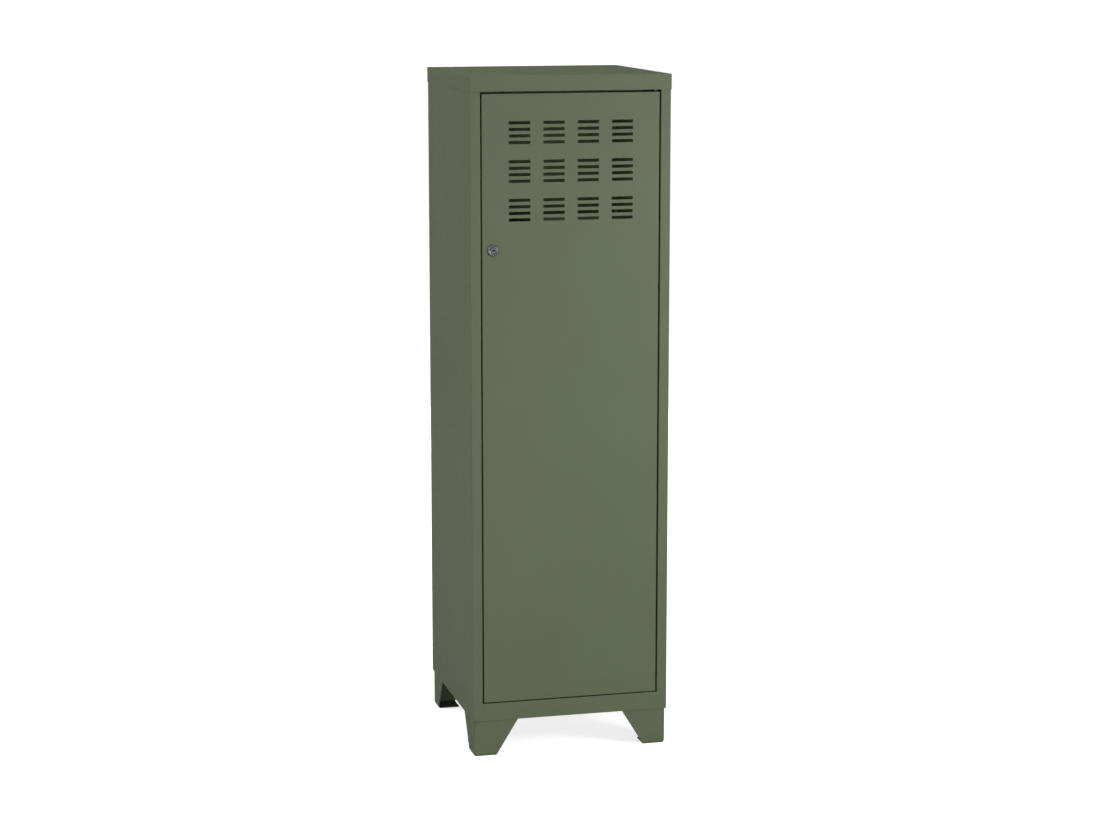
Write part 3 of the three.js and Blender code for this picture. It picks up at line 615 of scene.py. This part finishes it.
@dataclass
class Carcass:
    """The folded body: side panels, back, floor, header and cap."""

    stile: float = 20 * MM
    rear_flange: float = 15 * MM
    top_flange: float = 18 * MM
    top_flange_setback: float = 3 * MM
    strike: float = 10 * MM
    stop_lip: float = 12 * MM
    tray_upturn: float = 15 * MM
    tray_flange: float = 20 * MM
    tray_setback: float = 3 * MM
    apron_gap: float = 0.05 * MM
    wall_hole: float = 4 * MM
    wall_hole_cell: float = 16 * MM
    wall_hole_spacing: float = 240 * MM
    wall_hole_drop: float = 70 * MM
    seam: float = 0.3 * MM

    RETURN_RUN: ClassVar[int] = 3
    STRIKE_RUN: ClassVar[int] = 4
    PLUG_SHANK: ClassVar[Profile] = ((2.4, -3.4), (4.2, -3.0), (4.4, -2.0), (3.7, -1.2), (3.7, 0))
    PLUG_HEAD: ClassVar[Profile] = ((5.6, 0), (5.6, 0.3), (4.8, 0.8), (2.4, 1.0))

    def __post_init__(self) -> None:
        """Reads the faces of the body from the frame."""
        low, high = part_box("side_panel_right")
        self.half: float = high[0]
        self.front: float = low[1]
        self.rear: float = high[1]
        self.bottom: float = low[2]
        self.top: float = high[2]
        header_low, header_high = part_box("header_rail")
        self.strike_front: float = header_high[1] - BODY_SHEET.thickness
        self.stop_bottom: float = header_low[2]
        self.opening_top: float = header_low[2] + self.stop_lip
        self.floor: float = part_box("floor_tray")[1][2] - self.tray_upturn
        self.opening: float = self.half - self.stile

    def build(self) -> None:
        """Builds the six sheets."""
        self.side_panel("side_panel_left", -1)
        self.side_panel("side_panel_right", 1)
        self.back_panel()
        self.floor_tray()
        self.header_rail()
        self.top_cap()

    def side_panel(self, node: str, side: int) -> None:
        """Builds a side panel with its stile, return and strike flange, and its top flange.

        Args:
            node: The solid that it stands for.
            side: -1 for the lock side, 1 for the hinge side.
        """
        path = [(self.half - self.rear_flange, self.rear), (self.half, self.rear), (self.half, self.front)]
        path += [(self.opening, self.front), (self.opening, self.strike_front)]
        path.append((self.opening - self.strike, self.strike_front))
        sill = self.floor + self.seam
        strike_top = self.stop_bottom - self.seam

        def keep(run: float, height: float) -> bool:
            """Leaves the return out below the sill, and the strike flange beside the header too."""
            beside_header = run > self.STRIKE_RUN and height > strike_top
            return run < self.RETURN_RUN or (height > sill and not beside_header)

        skin = Skin()
        stations = [self.bottom, sill, strike_top, self.top]
        skin.swept([(side * x, y) for x, y in path], stations, Axis.Z, keep)
        skin.sheet(node, (side, 0, 0))
        flange = Skin()
        inner = self.half - self.top_flange
        outer = self.half - BODY_SHEET.thickness
        front = self.front + self.top_flange_setback
        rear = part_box("back_panel")[0][1] - self.seam
        flange.lattice(Axis.Z.plane(self.top), [side * outer, side * inner], [front, rear])
        dress(flange.folded(f"{node}_top_flange", BODY_SHEET, (0, 0, 1)), OLIVE_COAT, Body.CARCASS)

    def back_panel(self) -> None:
        """Builds the back panel with its two wall holes and their covers."""
        low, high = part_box("back_panel")
        height = self.top - self.wall_hole_drop
        half = self.wall_hole_spacing / 2
        cell = self.wall_hole_cell
        centres = (-half, half)
        across = cell_edges([low[0], high[0], *edges_round(centres, cell)])
        up = [low[2], *edges_round([height], cell), high[2]]
        place = Axis.Y.plane(high[1])

        def keep(x: float, z: float) -> bool:
            """Leaves the cells of the holes to the drill."""
            return not (within(z, [height], cell) and within(x, centres, cell))

        skin = Skin()
        skin.lattice(place, across, up, keep)
        for centre in centres:
            skin.pierced(place, (centre, height), cell / 2, self.wall_hole)
        skin.sheet("back_panel", (0, 1, 0))
        rings = rings_of([*self.PLUG_SHANK, *self.PLUG_HEAD])
        for side, centre in (("right", half), ("left", -half)):
            plug = turned(f"wall_hole_plug_{side}", rings, place(centre, height), (0, 1, 0), FINE_RIM)
            dress(plug, NYLON, Body.CARCASS)

    def floor_tray(self) -> None:
        """Builds the floor with its apron, side flanges and rear upturn."""
        low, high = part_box("floor_tray")
        apron = self.opening - self.apron_gap
        edge = low[1] + self.tray_setback
        rear = high[1] - BODY_SHEET.thickness
        across = [low[0], -apron, apron, high[0]]

        def keep(x: float, y: float) -> bool:
            """Leaves the front corners out, beside the apron."""
            return y > edge or abs(x) < apron

        skin = Skin()
        skin.lattice(Axis.Z.plane(self.floor), across, [low[1], edge, rear], keep)
        skin.lattice(Axis.Y.plane(low[1]), [-apron, apron], [low[2], self.floor])
        skin.lattice(Axis.Y.plane(rear), across, [self.floor, high[2]])
        for x in (low[0], high[0]):
            skin.lattice(Axis.X.plane(x), [edge, rear], [self.floor - self.tray_flange, self.floor])
        skin.sheet("floor_tray", (0, 0, 1))

    def header_rail(self) -> None:
        """Builds the rail over the door, with the stop behind the door's top edge."""
        low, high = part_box("header_rail")
        path = [(self.front + self.top_flange, high[2]), (self.front, high[2])]
        path += [(self.front, self.opening_top), (self.strike_front, self.opening_top)]
        path.append((self.strike_front, low[2]))
        skin = Skin()
        skin.swept(path, [low[0], high[0]], Axis.X)
        skin.sheet("header_rail", (0, -1, 0))

    def top_cap(self) -> None:
        """Builds the cap with its lip on four sides."""
        low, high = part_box("top_cap")
        skin = Skin()
        ends = [(low[0], low[1]), (high[0], low[1]), (high[0], high[1]), (low[0], high[1])]
        skin.panel(*[(x, y, high[2]) for x, y in ends])
        skin.swept([*ends, ends[0]], [low[2], high[2]], Axis.Z)
        skin.sheet("top_cap", (0, 0, 1))


@dataclass(frozen=True)
class ScrewSize:
    """A button-head screw in millimetres: radii of its shank and head, their lengths and its socket."""

    shank: float
    length: float
    head: float
    height: float
    socket: Outline

    POINT: ClassVar[Limits] = (0.7, 0.4)
    STRAIGHT: ClassVar[float] = 0.25
    CROWN: ClassVar[float] = 0.45
    DOME_STEPS: ClassVar[int] = 6
    KEY: ClassVar[float] = 0.38
    SOCKET: ClassVar[Profile] = ((1.1, 1), (1, 0.94), (1, 0.45))
    SOCKET_FLOOR: ClassVar[Limits] = (0.3, 0.38)

    def rings(self) -> list[Ring]:
        """Draws the screw from its tip to the floor of its driver socket.

        Returns:
            The rings, with height 0 under the head.
        """
        shank, head, height = self.shank, self.head, self.height
        tip, taper = self.POINT
        profile = [(shank * tip, -self.length), (shank, -self.length + shank * taper), (shank, 0)]
        profile += [(head, 0), (head, height * self.STRAIGHT)]
        for step in range(1, self.DOME_STEPS):
            angle = step / self.DOME_STEPS * RIGHT_ANGLE
            reach = self.CROWN + (1 - self.CROWN) * math.cos(angle)
            rise = self.STRAIGHT + (1 - self.STRAIGHT) * math.sin(angle)
            profile.append((head * reach, height * rise))
        key = head * self.KEY
        socket = [(key * reach, height * rise) for reach, rise in self.SOCKET]
        reach, rise = self.SOCKET_FLOOR
        return [*rings_of(profile), *rings_of(socket, self.socket), Ring(key * reach, height * rise)]


@dataclass(frozen=True)
class NutSize:
    """A hexagon nut in millimetres: the radius at its corners, the radius of its bore and its height."""

    radius: float
    bore: float
    height: float


FOOT_BOLT = ScrewSize(3, 12, 6.2, 3.2, Outline.HEX)
CAP_SCREW = ScrewSize(2, 5, 4, 2.2, Outline.LOBED)
SHELF_SCREW = ScrewSize(2, 6, 4, 2, Outline.LOBED)
CAM_SCREW = ScrewSize(2, 9, 4.6, 2.4, Outline.HEX)
FOOT_NUT = NutSize(6, 3.2, 5)
CAP_NUT = NutSize(5, 2.2, 5)


def screw(node: str, body: Body, axis: Point, size: ScrewSize) -> None:
    """Builds a screw in place of its solid.

    Args:
        node: The solid that it stands for.
        body: The body that it moves with.
        axis: The direction from its tip to its head.
        size: Its size.
    """
    along = Vector(axis)
    low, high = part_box(node)
    span = abs((Vector(high) - Vector(low)).dot(along))
    seat = middle(node) + along * (span / 2 - size.height * MM)
    dress(turned(f"{node}_turned", size.rings(), seat, axis, SCREW_RIM), ZINC, body, node)


def weld_nut(name: str, seat: Vector, size: NutSize) -> None:
    """Builds a nut welded under a sheet.

    Args:
        name: The piece's name.
        seat: The middle of its upper face.
        size: Its size.
    """
    bore = Ring(size.bore, -size.height)
    hexagon = rings_of([(size.radius, -size.height), (size.radius, 0)], Outline.HEX)
    rings = [bore, *hexagon, Ring(size.bore, 0), bore]
    dress(turned(name, rings, seat, (0, 0, 1)), OLIVE_COAT, Body.CARCASS)


@dataclass
class Feet:
    """Four folded corner feet with welded nuts under the floor."""

    height: float = 73 * MM
    width: float = 90 * MM
    base: float = 45 * MM
    lip: float = 40 * MM
    bolt_inset: float = 24 * MM
    bolt_reach: float = 62 * MM

    CORNERS: ClassVar[dict[str, tuple[int, int]]] = {
        "front_left": (0, 0),
        "front_right": (1, 0),
        "rear_right": (1, 1),
        "rear_left": (0, 1),
    }

    def build(self) -> None:
        """Builds each foot at its corner, turned a quarter from the one before."""
        bolts = [(self.bolt_reach, self.bolt_inset), (self.bolt_inset, self.bolt_reach)]
        for quarter, (place, (right, back)) in enumerate(self.CORNERS.items()):
            node = f"foot_{place}"
            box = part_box(node)
            top = box[1][2]
            corner = Vector((box[right][0], box[back][1], 0))
            turn = Matrix.Translation(corner) @ Matrix.Rotation(quarter * RIGHT_ANGLE, 4, "Z")
            self.foot(node, top, turn)
            for index, (x, y) in enumerate(bolts, start=1):
                seat = turn @ Vector((x, y, top - FOOT_SHEET.thickness))
                weld_nut(f"{node}_nut_{index}", seat, FOOT_NUT)
                screw(f"foot_bolt_{place}_{index}", Body.CARCASS, (0, 0, 1), FOOT_BOLT)

    def foot(self, node: str, top: float, turn: Matrix) -> None:
        """Builds one foot.

        Args:
            node: The solid that it stands for.
            top: The height of the lip under the floor.
            turn: Puts the foot at its corner.
        """
        profile = [(0, 0), (self.base, 0), (self.width, self.height), (self.width, top), (0, top)]
        lip = [(0, 0), (self.width, 0), (self.width, self.lip), (self.lip, self.lip)]
        lip += [(self.lip, self.width), (0, self.width)]
        skin = Skin()
        skin.panel(*[(u, 0, z) for u, z in profile])
        skin.panel(*[(0, u, z) for u, z in profile])
        skin.panel((0, 0, 0), (self.base, 0, 0), (self.base, self.base, 0), (0, self.base, 0))
        skin.panel(*[(x, y, top) for x, y in lip])
        bmesh.ops.transform(skin.mesh, matrix=turn, verts=skin.mesh.verts)
        piece = skin.folded(f"{node}_sheet", FOOT_SHEET, turn.to_3x3() @ Vector((0, -1, 0)))
        dress(piece, OLIVE_COAT, Body.CARCASS, node)


class Fasteners:
    """Cap screws, shelf screws, and rivets with a low dome outside and a pressed tail inside."""

    RIVET_TAIL: ClassVar[Profile] = ((1.0, -3.5), (2.6, -3.4), (3, -3.0), (3, -2.5), (2, -2.5), (2, 0))
    RIVET_DOME: ClassVar[Profile] = ((3.5, 0), (3.5, 0.15), (3.1, 0.42), (2.2, 0.62), (1.0, 0.7))

    def build(self) -> None:
        """Builds each fastener in place of its solid, with a nut under the cap for each cap screw."""
        profile = [*self.RIVET_TAIL, *self.RIVET_DOME]
        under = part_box("top_cap")[1][2] - BODY_SHEET.thickness
        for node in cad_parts:
            if node.startswith("back_rivet"):
                rivet = headed(node, "turned", profile, Axis.Y, 1, RIVET_RIM)
                dress(rivet, OLIVE_COAT, Body.CARCASS, node)
            elif node.startswith("cap_screw"):
                screw(node, Body.CARCASS, (0, 0, -1), CAP_SCREW)
                weld_nut(f"{node}_nut", seat_at(node, Axis.Z, under), CAP_NUT)
            elif node.startswith("shelf_screw"):
                screw(node, Body.CARCASS, (0, 0, 1), SHELF_SCREW)


@dataclass
class Fittings:
    """What is inside: the shelf, the hanging rail and the rubber buffers. Profiles are in millimetres."""

    hem: float = 12 * MM
    rail_radius: float = 10
    rail_bore: float = 8.8

    CUP_FLANGE: ClassVar[Profile] = ((14, 0), (17, 0), (17, 1.2), (16.2, 2), (13.2, 2), (12.3, 3))
    CUP_WALL: ClassVar[Profile] = ((12.3, 11.4), (11.8, 12), (10.3, 12), (10.3, 2), (2, 2))
    BUFFER_STEM: ClassVar[Profile] = ((1, -3), (2.4, -2.8), (3.1, -1.4), (2.4, -1.4), (2.4, 0))
    BUFFER_HEAD: ClassVar[Profile] = ((4, 0), (4, 2.2), (3.6, 3.2), (2.4, 3.7), (1, 3.8))

    def build(self) -> None:
        """Builds the shelf, its brackets, the rail, its sockets and the buffers."""
        self.shelf()
        self.bracket("shelf_bracket_left", -1)
        self.bracket("shelf_bracket_right", 1)
        self.rail()
        self.socket("rail_socket_left", -1)
        self.socket("rail_socket_right", 1)
        for end in ("lower", "upper"):
            node = f"door_buffer_{end}"
            buffer = headed(node, "rubber", [*self.BUFFER_STEM, *self.BUFFER_HEAD], Axis.Y, -1)
            dress(buffer, RUBBER, Body.CARCASS, node)

    def shelf(self) -> None:
        """Builds the shelf with its turned-down edges."""
        low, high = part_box("shelf")
        path = [(low[1] + self.hem, low[2]), (low[1], low[2]), (low[1], high[2])]
        path += [(high[1], high[2]), (high[1], low[2])]
        skin = Skin()
        skin.swept(path, [low[0], high[0]], Axis.X)
        skin.sheet("shelf", (0, 0, 1))

    def bracket(self, node: str, side: int) -> None:
        """Builds an angle under one end of the shelf.

        Args:
            node: The solid that it stands for.
            side: -1 for the lock side, 1 for the hinge side.
        """
        low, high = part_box(node)
        wall, tip = (high[0], low[0]) if side > 0 else (low[0], high[0])
        skin = Skin()
        skin.swept([(wall, low[2]), (wall, high[2]), (tip, high[2])], [low[1], high[1]], Axis.Y)
        skin.sheet(node, (side, 0, 0))

    def rail(self) -> None:
        """Builds the chromed tube."""
        low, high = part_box("hanging_rail")
        length = (high[0] - low[0]) / MM
        seat = seat_at("hanging_rail", Axis.X, low[0])
        outer, bore = self.rail_radius, self.rail_bore
        rings = rings_of([(bore, 0), (outer, 0), (outer, length), (bore, length), (bore, 0)])
        dress(turned("hanging_rail_tube", rings, seat, (1, 0, 0)), CHROME, Body.CARCASS, "hanging_rail")

    def socket(self, node: str, side: int) -> None:
        """Builds a moulded cup that holds one end of the rail.

        Args:
            node: The solid that it stands for.
            side: -1 for the lock side, 1 for the hinge side.
        """
        low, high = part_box(node)
        seat = seat_at(node, Axis.X, high[0] if side > 0 else low[0])
        rings = rings_of([*self.CUP_FLANGE, *self.CUP_WALL])
        dress(turned(f"{node}_cup", rings, seat, (-side, 0, 0)), NYLON, Body.CARCASS, node)


@dataclass
class Door:
    """The slotted door, its stiffener and its pivots. Profiles are in millimetres."""

    edge_return: float = 10.8 * MM
    slot_length: float = 42 * MM
    slot_height: float = 6 * MM
    slot_pitch: float = 12.5 * MM
    slots: int = 4
    columns: int = 4
    column_pitch: float = 68 * MM
    groups: int = 3
    group_pitch: float = 74 * MM
    slot_drop: float = 55.6 * MM
    lock_hole: float = 9.7 * MM
    stiffener_flange: float = 14 * MM
    pin_radius: float = 3
    pin_point: Limits = (2.2, 0.8)

    PIN_HEAD: ClassVar[Profile] = ((4.2, 0), (4.2, 0.8), (3.6, 1.2))
    BUSH_BODY: ClassVar[Profile] = ((3.12, -5), (4.2, -5), (4.5, -4.6), (4.5, 0))
    BUSH_HEAD: ClassVar[Profile] = ((5.5, 0), (5.5, 1.4), (3.12, 1.4), (3.12, -5))

    def build(self) -> None:
        """Builds the door pan, the stiffener, the pins and the bushes."""
        self.pan()
        self.stiffener()
        for end, rise in (("upper", 1), ("lower", -1)):
            pin = f"pivot_pin_{end}"
            low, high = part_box(pin)
            tip = self.PIN_HEAD[-1][1] - (high[2] - low[2]) / MM
            radius, taper = self.pin_point
            shank = [(radius, tip), (self.pin_radius, tip + taper), (self.pin_radius, 0)]
            piece = headed(pin, "turned", [*shank, *self.PIN_HEAD], Axis.Z, rise, FINE_RIM)
            dress(piece, DARK_ZINC, Body.CARCASS, pin)
            bush = f"pivot_bush_{end}"
            piece = headed(bush, "turned", [*self.BUSH_BODY, *self.BUSH_HEAD], Axis.Z, rise, FINE_RIM)
            dress(piece, NYLON, Body.DOOR, bush)

    def pan(self) -> None:
        """Builds the door sheet: slotted face, four edges and their returns."""
        low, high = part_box("door_pan")
        lock = middle("lock_plug")
        first = (low[0] + high[0]) / 2 - (self.columns - 1) / 2 * self.column_pitch
        columns = row(first, self.column_pitch, self.columns)
        groups = row(high[2] - self.slot_drop, -self.group_pitch, self.groups)
        rows = [height for top_row in groups for height in row(top_row, -self.slot_pitch, self.slots)]
        left, right = low[0] + self.edge_return, high[0] - self.edge_return
        bottom, top = low[2] + self.edge_return, high[2] - self.edge_return
        half = lock.x - low[0] - self.edge_return
        cell = 2 * half
        slots_across = edges_round(columns, self.slot_length)
        slots_up = edges_round(rows, self.slot_height)
        across = cell_edges([low[0], high[0], left, right, *edges_round([lock.x], cell), *slots_across])
        up = cell_edges([low[2], high[2], bottom, top, *edges_round([lock.z], cell), *slots_up])
        face = Axis.Y.plane(low[1])

        def solid(x: float, z: float) -> bool:
            """Leaves out the slots and the cell of the lock."""
            in_slot = within(x, columns, self.slot_length) and within(z, rows, self.slot_height)
            return not (in_slot or (within(x, [lock.x], cell) and within(z, [lock.z], cell)))

        def rim(x: float, z: float) -> bool:
            """Keeps only the returns round the back."""
            return not (left < x < right and bottom < z < top)

        skin = Skin()
        skin.lattice(face, across, up, solid)
        skin.pierced(face, (lock.x, lock.z), half, self.lock_hole)
        skin.lattice(Axis.Y.plane(high[1]), across, up, rim)
        for x in (low[0], high[0]):
            skin.lattice(Axis.X.plane(x), [low[1], high[1]], up)
        for z in (low[2], high[2]):
            skin.lattice(Axis.Z.plane(z), across, [low[1], high[1]])
        skin.sheet("door_pan", (0, -1, 0), Body.DOOR)

    def stiffener(self) -> None:
        """Builds the hat channel inside the door."""
        low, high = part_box("door_stiffener")
        flat = low[1] + BODY_SHEET.thickness
        web = low[0] + self.stiffener_flange - BODY_SHEET.thickness / 2
        far_web = low[0] + high[0] - web
        path = [(low[0], flat), (web, flat), (web, high[1])]
        path += [(far_web, high[1]), (far_web, flat), (high[0], flat)]
        skin = Skin()
        skin.swept(path, [low[2], high[2]], Axis.Z)
        skin.sheet("door_stiffener", (0, 1, 0), Body.DOOR)


@dataclass
class CamLock:
    """The cam lock: its bezel and barrel, nut, plug, cam and screw. Profiles are in millimetres."""

    keyhole_length: float = 7.4 * MM
    keyhole_width: float = 2.4 * MM
    keyhole_depth: float = 5 * MM
    cam_width: float = 14 * MM
    cam_tip: float = 4 * MM
    cam_hole: float = 3.7 * MM
    thread_start: float = 4.6
    thread_pitch: float = 1.5
    thread_ends: float = 6
    thread_radii: Limits = (9.5, 9.1)
    plug_radius: float = 5.95
    tenon: float = 3.5
    tenon_length: float = 2.3
    barrel_end: Limits = (9.2, 0.4)
    cam_fold: float = 1 * MM
    cam_rim: float = 0.2 * MM

    BEZEL_FACE: ClassVar[Profile] = ((6.12, 0.9), (6.9, 0.35), (7.6, 0.05), (8.6, 0.0), (9.5, 0.3))
    BEZEL_EDGE: ClassVar[Profile] = ((10.3, 1.0), (10.8, 1.9), (11, 2.9), (11, 3.6), (9.5, 3.6))
    NUT_BORE: ClassVar[Profile] = ((9.7, 4), (9.7, 0))
    NUT_SIDES: ClassVar[Profile] = ((13.2, 0), (13.8, 0.5), (13.8, 3.5), (13.2, 4))
    PLUG_FACE: ClassVar[Profile] = ((4.9, 0), (5.6, 0.15), (5.95, 0.5))

    def build(self) -> None:
        """Builds the five pieces of the lock."""
        self.barrel()
        self.nut()
        self.plug()
        self.cam()
        screw("cam_screw", Body.LOCK, (0, 1, 0), CAM_SCREW)

    def barrel(self) -> None:
        """Builds the bezel and the barrel behind it, with a bore for the plug."""
        low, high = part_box("lock_body")
        length = (high[1] - low[1]) / MM
        crest, root = self.thread_radii
        bore = self.BEZEL_FACE[0]
        profile = [*self.BEZEL_FACE, *self.BEZEL_EDGE]
        for turn in range(int((length - self.thread_ends) / self.thread_pitch)):
            start = self.thread_start + turn * self.thread_pitch
            profile += [(crest, start), (root, start + self.thread_pitch / 2)]
        end, chamfer = self.barrel_end
        profile += [(crest, length - chamfer), (end, length), (bore[0], length), bore]
        seat = seat_at("lock_body", Axis.Y, low[1])
        piece = turned("lock_bezel_and_barrel", rings_of(profile), seat, (0, 1, 0), LOCK_RIM)
        dress(piece, NICKEL, Body.DOOR, "lock_body")

    def nut(self) -> None:
        """Builds the thin hexagon nut behind the door's face."""
        seat = seat_at("lock_nut", Axis.Y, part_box("lock_nut")[0][1])
        bore = rings_of(self.NUT_BORE)
        rings = [bore[-1], *rings_of(self.NUT_SIDES, Outline.HEX), *bore]
        dress(turned("lock_nut_hex", rings, seat, (0, 1, 0), FINE_RIM), ZINC, Body.DOOR, "lock_nut")

    def plug(self) -> None:
        """Builds the plug with its keyhole and the square end that drives the cam."""
        low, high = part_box("lock_plug")
        length = (high[1] - low[1]) / MM
        shoulder = length - self.tenon_length
        seat = seat_at("lock_plug", Axis.Y, low[1])
        rings = rings_of([*self.PLUG_FACE, (self.plug_radius, shoulder)])
        rings += rings_of([(self.tenon, shoulder), (self.tenon, length)], Outline.SQUARE)
        piece = turned("lock_plug_turned", rings, seat, (0, 1, 0), LOCK_RIM)
        dress(piece, NICKEL, Body.LOCK, "lock_plug")
        self.keyhole(piece, seat)

    def keyhole(self, plug: Piece, face: Vector) -> None:
        """Cuts the keyhole into the plug's face, with its cut walls near-black as painted shade.

        Args:
            plug: The turned plug.
            face: The middle of its face.
        """
        slot = bmesh.new()
        size = Vector((self.keyhole_length, 2 * self.keyhole_depth, self.keyhole_width))
        bmesh.ops.create_cube(slot, size=1, matrix=Matrix.LocRotScale(face, None, size))
        cutter = new_piece("keyhole_cutter", slot)
        # The cutter's near-black material goes onto the cut walls: painted shade inside the keyhole.
        cutter.data.materials.append(KEYWAY_SHADE.material())
        cut = plug.modifiers.new("keyhole", "BOOLEAN")
        cut.object = cutter
        cut.material_mode = "TRANSFER"
        plug.modifiers.move(len(plug.modifiers) - 1, 0)
        bpy.context.view_layer.update()
        graph = bpy.context.evaluated_depsgraph_get()
        carved = bpy.data.meshes.new_from_object(plug.evaluated_get(graph))
        plug.modifiers.clear()
        plug.data = carved
        bpy.data.objects.remove(cutter)

    def cam(self) -> None:
        """Builds the cam plate with its square hole, hanging down from the plug."""
        low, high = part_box("lock_cam")
        centre = middle("lock_plug")
        half = self.cam_width / 2
        tip = low[2] + self.cam_tip
        eye_steps = 12
        tip_steps = 4
        pin = (centre.x, centre.z)
        outer = [polar(pin, half, step / eye_steps * math.pi) for step in range(eye_steps + 1)]
        for side, start in ((-1, math.pi), (1, 1.5 * math.pi)):
            corner = (centre.x + side * (half - self.cam_tip), tip)
            for step in range(tip_steps + 1):
                outer.append(polar(corner, self.cam_tip, start + step / tip_steps * RIGHT_ANGLE))
        hole = square(pin, self.cam_hole)
        eye = [*outer[: eye_steps + 1], hole[1], hole[0]]
        arm = [*outer[eye_steps:], outer[0], hole[0], hole[3], hole[2], hole[1]]
        rear = Axis.Y.plane(high[1])
        skin = Skin()
        skin.panel(*[rear(*point) for point in eye])
        skin.panel(*[rear(*point) for point in arm])
        cam_plate = Sheet(high[1] - low[1], self.cam_fold, self.cam_rim)
        dress(skin.folded("lock_cam_plate", cam_plate, (0, 1, 0)), ZINC, Body.LOCK, "lock_cam")


@dataclass(frozen=True)
class SoftBox:
    """One large soft lamp."""

    name: str
    place: Triple
    aim: Triple
    size: Limits
    power: float

    def build(self) -> None:
        """Hangs the lamp and turns it to its aim."""
        data = bpy.data.lights.new(self.name, "AREA")
        data.shape = "RECTANGLE"
        data.size, data.size_y = self.size
        data.energy = self.power
        lamp = bpy.data.objects.new(self.name, data)
        lamp.location = self.place
        lamp.visible_camera = False
        toward = Vector(self.aim) - Vector(self.place)
        lamp.rotation_euler = toward.to_track_quat("-Z", "Y").to_euler()
        bpy.context.scene.collection.objects.link(lamp)


@dataclass
class Studio:
    """The pale floor, the white surround and the lamps. One weak lamp is behind the door's slots."""

    floor_half: float = 30.0
    floor_cells: int = 8
    floor_pale: Limits = (0.80, 0.82)
    floor_cloud: float = 0.7
    floor_glow: float = 0.76
    floor_bounce: float = 0.42
    front_level: float = 0.51
    back_level: float = 0.14
    level_reach: float = 0.8
    seen_level: float = 1.2

    LAMPS: ClassVar[Sequence[SoftBox]] = (
        SoftBox("key_lamp", (1.5, -1.6, 1.06), (0.1, -0.2, 1.1), (0.6, 0.5), 24.0),
        SoftBox("front_lamp", (-0.8, -3.0, 0.25), (0.0, 0.0, 0.1), (3.0, 0.5), 24.0),
        SoftBox("fill_lamp", (-3.0, -0.2, 3.2), (0.0, 0.0, 1.1), (2.2, 2.2), 85.0),
        SoftBox("top_lamp", (0.0, -0.2, 4.6), (0.0, 0.0, 0.0), (3.0, 3.0), 48.0),
        SoftBox("back_lamp", (0.1, 3.8, 0.72), (0.0, 0.0, 0.7), (0.8, 1.2), 52.0),
        SoftBox("inside_lamp", (0.07, -0.02, 1.14), (0.2, 0.12, 1.08), (0.2, 0.2), 0.09),
    )

    def build(self) -> None:
        """Builds the floor, the surround and the lamps."""
        self.floor()
        self.surround()
        for lamp in self.LAMPS:
            lamp.build()

    def floor(self) -> None:
        """Builds the pale floor, which keeps the shadow and looks white to the eye."""
        mesh = bmesh.new()
        bmesh.ops.create_grid(
            mesh, x_segments=self.floor_cells, y_segments=self.floor_cells, size=self.floor_half
        )
        floor = new_piece("studio_floor", mesh)
        material = bpy.data.materials.new("studio_floor")
        nodes = NodeTree(material)
        deep, pale = ((level, level, level) for level in self.floor_pale)
        cloudy = nodes.blended(nodes.noise(self.floor_cloud), deep, pale)
        shaded = nodes.add("ShaderNodeBsdfDiffuse", Color=cloudy)
        glow = nodes.add("ShaderNodeEmission", Color=WHITE, Strength=self.floor_glow)
        white = nodes.add("ShaderNodeAddShader")
        nodes.tree.links.new(shaded.outputs["BSDF"], white.inputs[0])
        nodes.tree.links.new(glow.outputs["Emission"], white.inputs[1])
        bounce = nodes.add("ShaderNodeBsdfDiffuse", Color=(*[self.floor_bounce] * 3, 1))
        nodes.finish(nodes.seen_or_lit(white.outputs["Shader"], bounce.outputs["BSDF"]))
        floor.data.materials.append(material)

    def surround(self) -> None:
        """Makes the world white to the eye, and as a light brighter in front than behind."""
        world = bpy.data.worlds.new("studio_surround")
        bpy.context.scene.world = world
        nodes = NodeTree(world)
        direction = nodes.add("ShaderNodeTexCoord").outputs["Generated"]
        depth = nodes.add("ShaderNodeSeparateXYZ", Vector=direction).outputs["Y"]
        span = (-self.level_reach, self.level_reach)
        level = nodes.ranged(depth, self.front_level, self.back_level, span)
        light = nodes.add("ShaderNodeBackground", Color=WHITE, Strength=level)
        white = nodes.add("ShaderNodeBackground", Color=WHITE, Strength=self.seen_level)
        nodes.finish(nodes.seen_or_lit(white.outputs["Background"], light.outputs["Background"]))


@dataclass
class PhotoCamera:
    """The camera at the photograph's viewing angle."""

    place: Triple = (-1.269, -5.063, 1.577)
    heading: float = 14.154
    drop: float = 10.049
    lens: float = 85.56
    sensor: float = 36.0

    def build(self) -> None:
        """Sets the camera up and makes it the scene's own."""
        data = bpy.data.cameras.new("photo_camera")
        data.lens = self.lens
        data.sensor_width = self.sensor
        camera = bpy.data.objects.new("photo_camera", data)
        camera.location = self.place
        camera.rotation_euler = (RIGHT_ANGLE - math.radians(self.drop), 0, -math.radians(self.heading))
        bpy.context.scene.collection.objects.link(camera)
        bpy.context.scene.camera = camera


def write_sizes() -> None:
    """Updates the view layer after the build."""
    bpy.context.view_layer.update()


def main() -> None:
    """Builds the locker piece by piece, then the studio and the camera."""
    logging.basicConfig(level=logging.INFO, format="%(name)s: %(message)s")
    bpy.context.scene.view_settings.view_transform = "Standard"
    for part in (PhotoCamera(), Carcass(), Feet(), Fasteners(), Fittings(), Door(), CamLock(), Studio()):
        part.build()
    write_sizes()


if __name__ == "__main__":
    main()
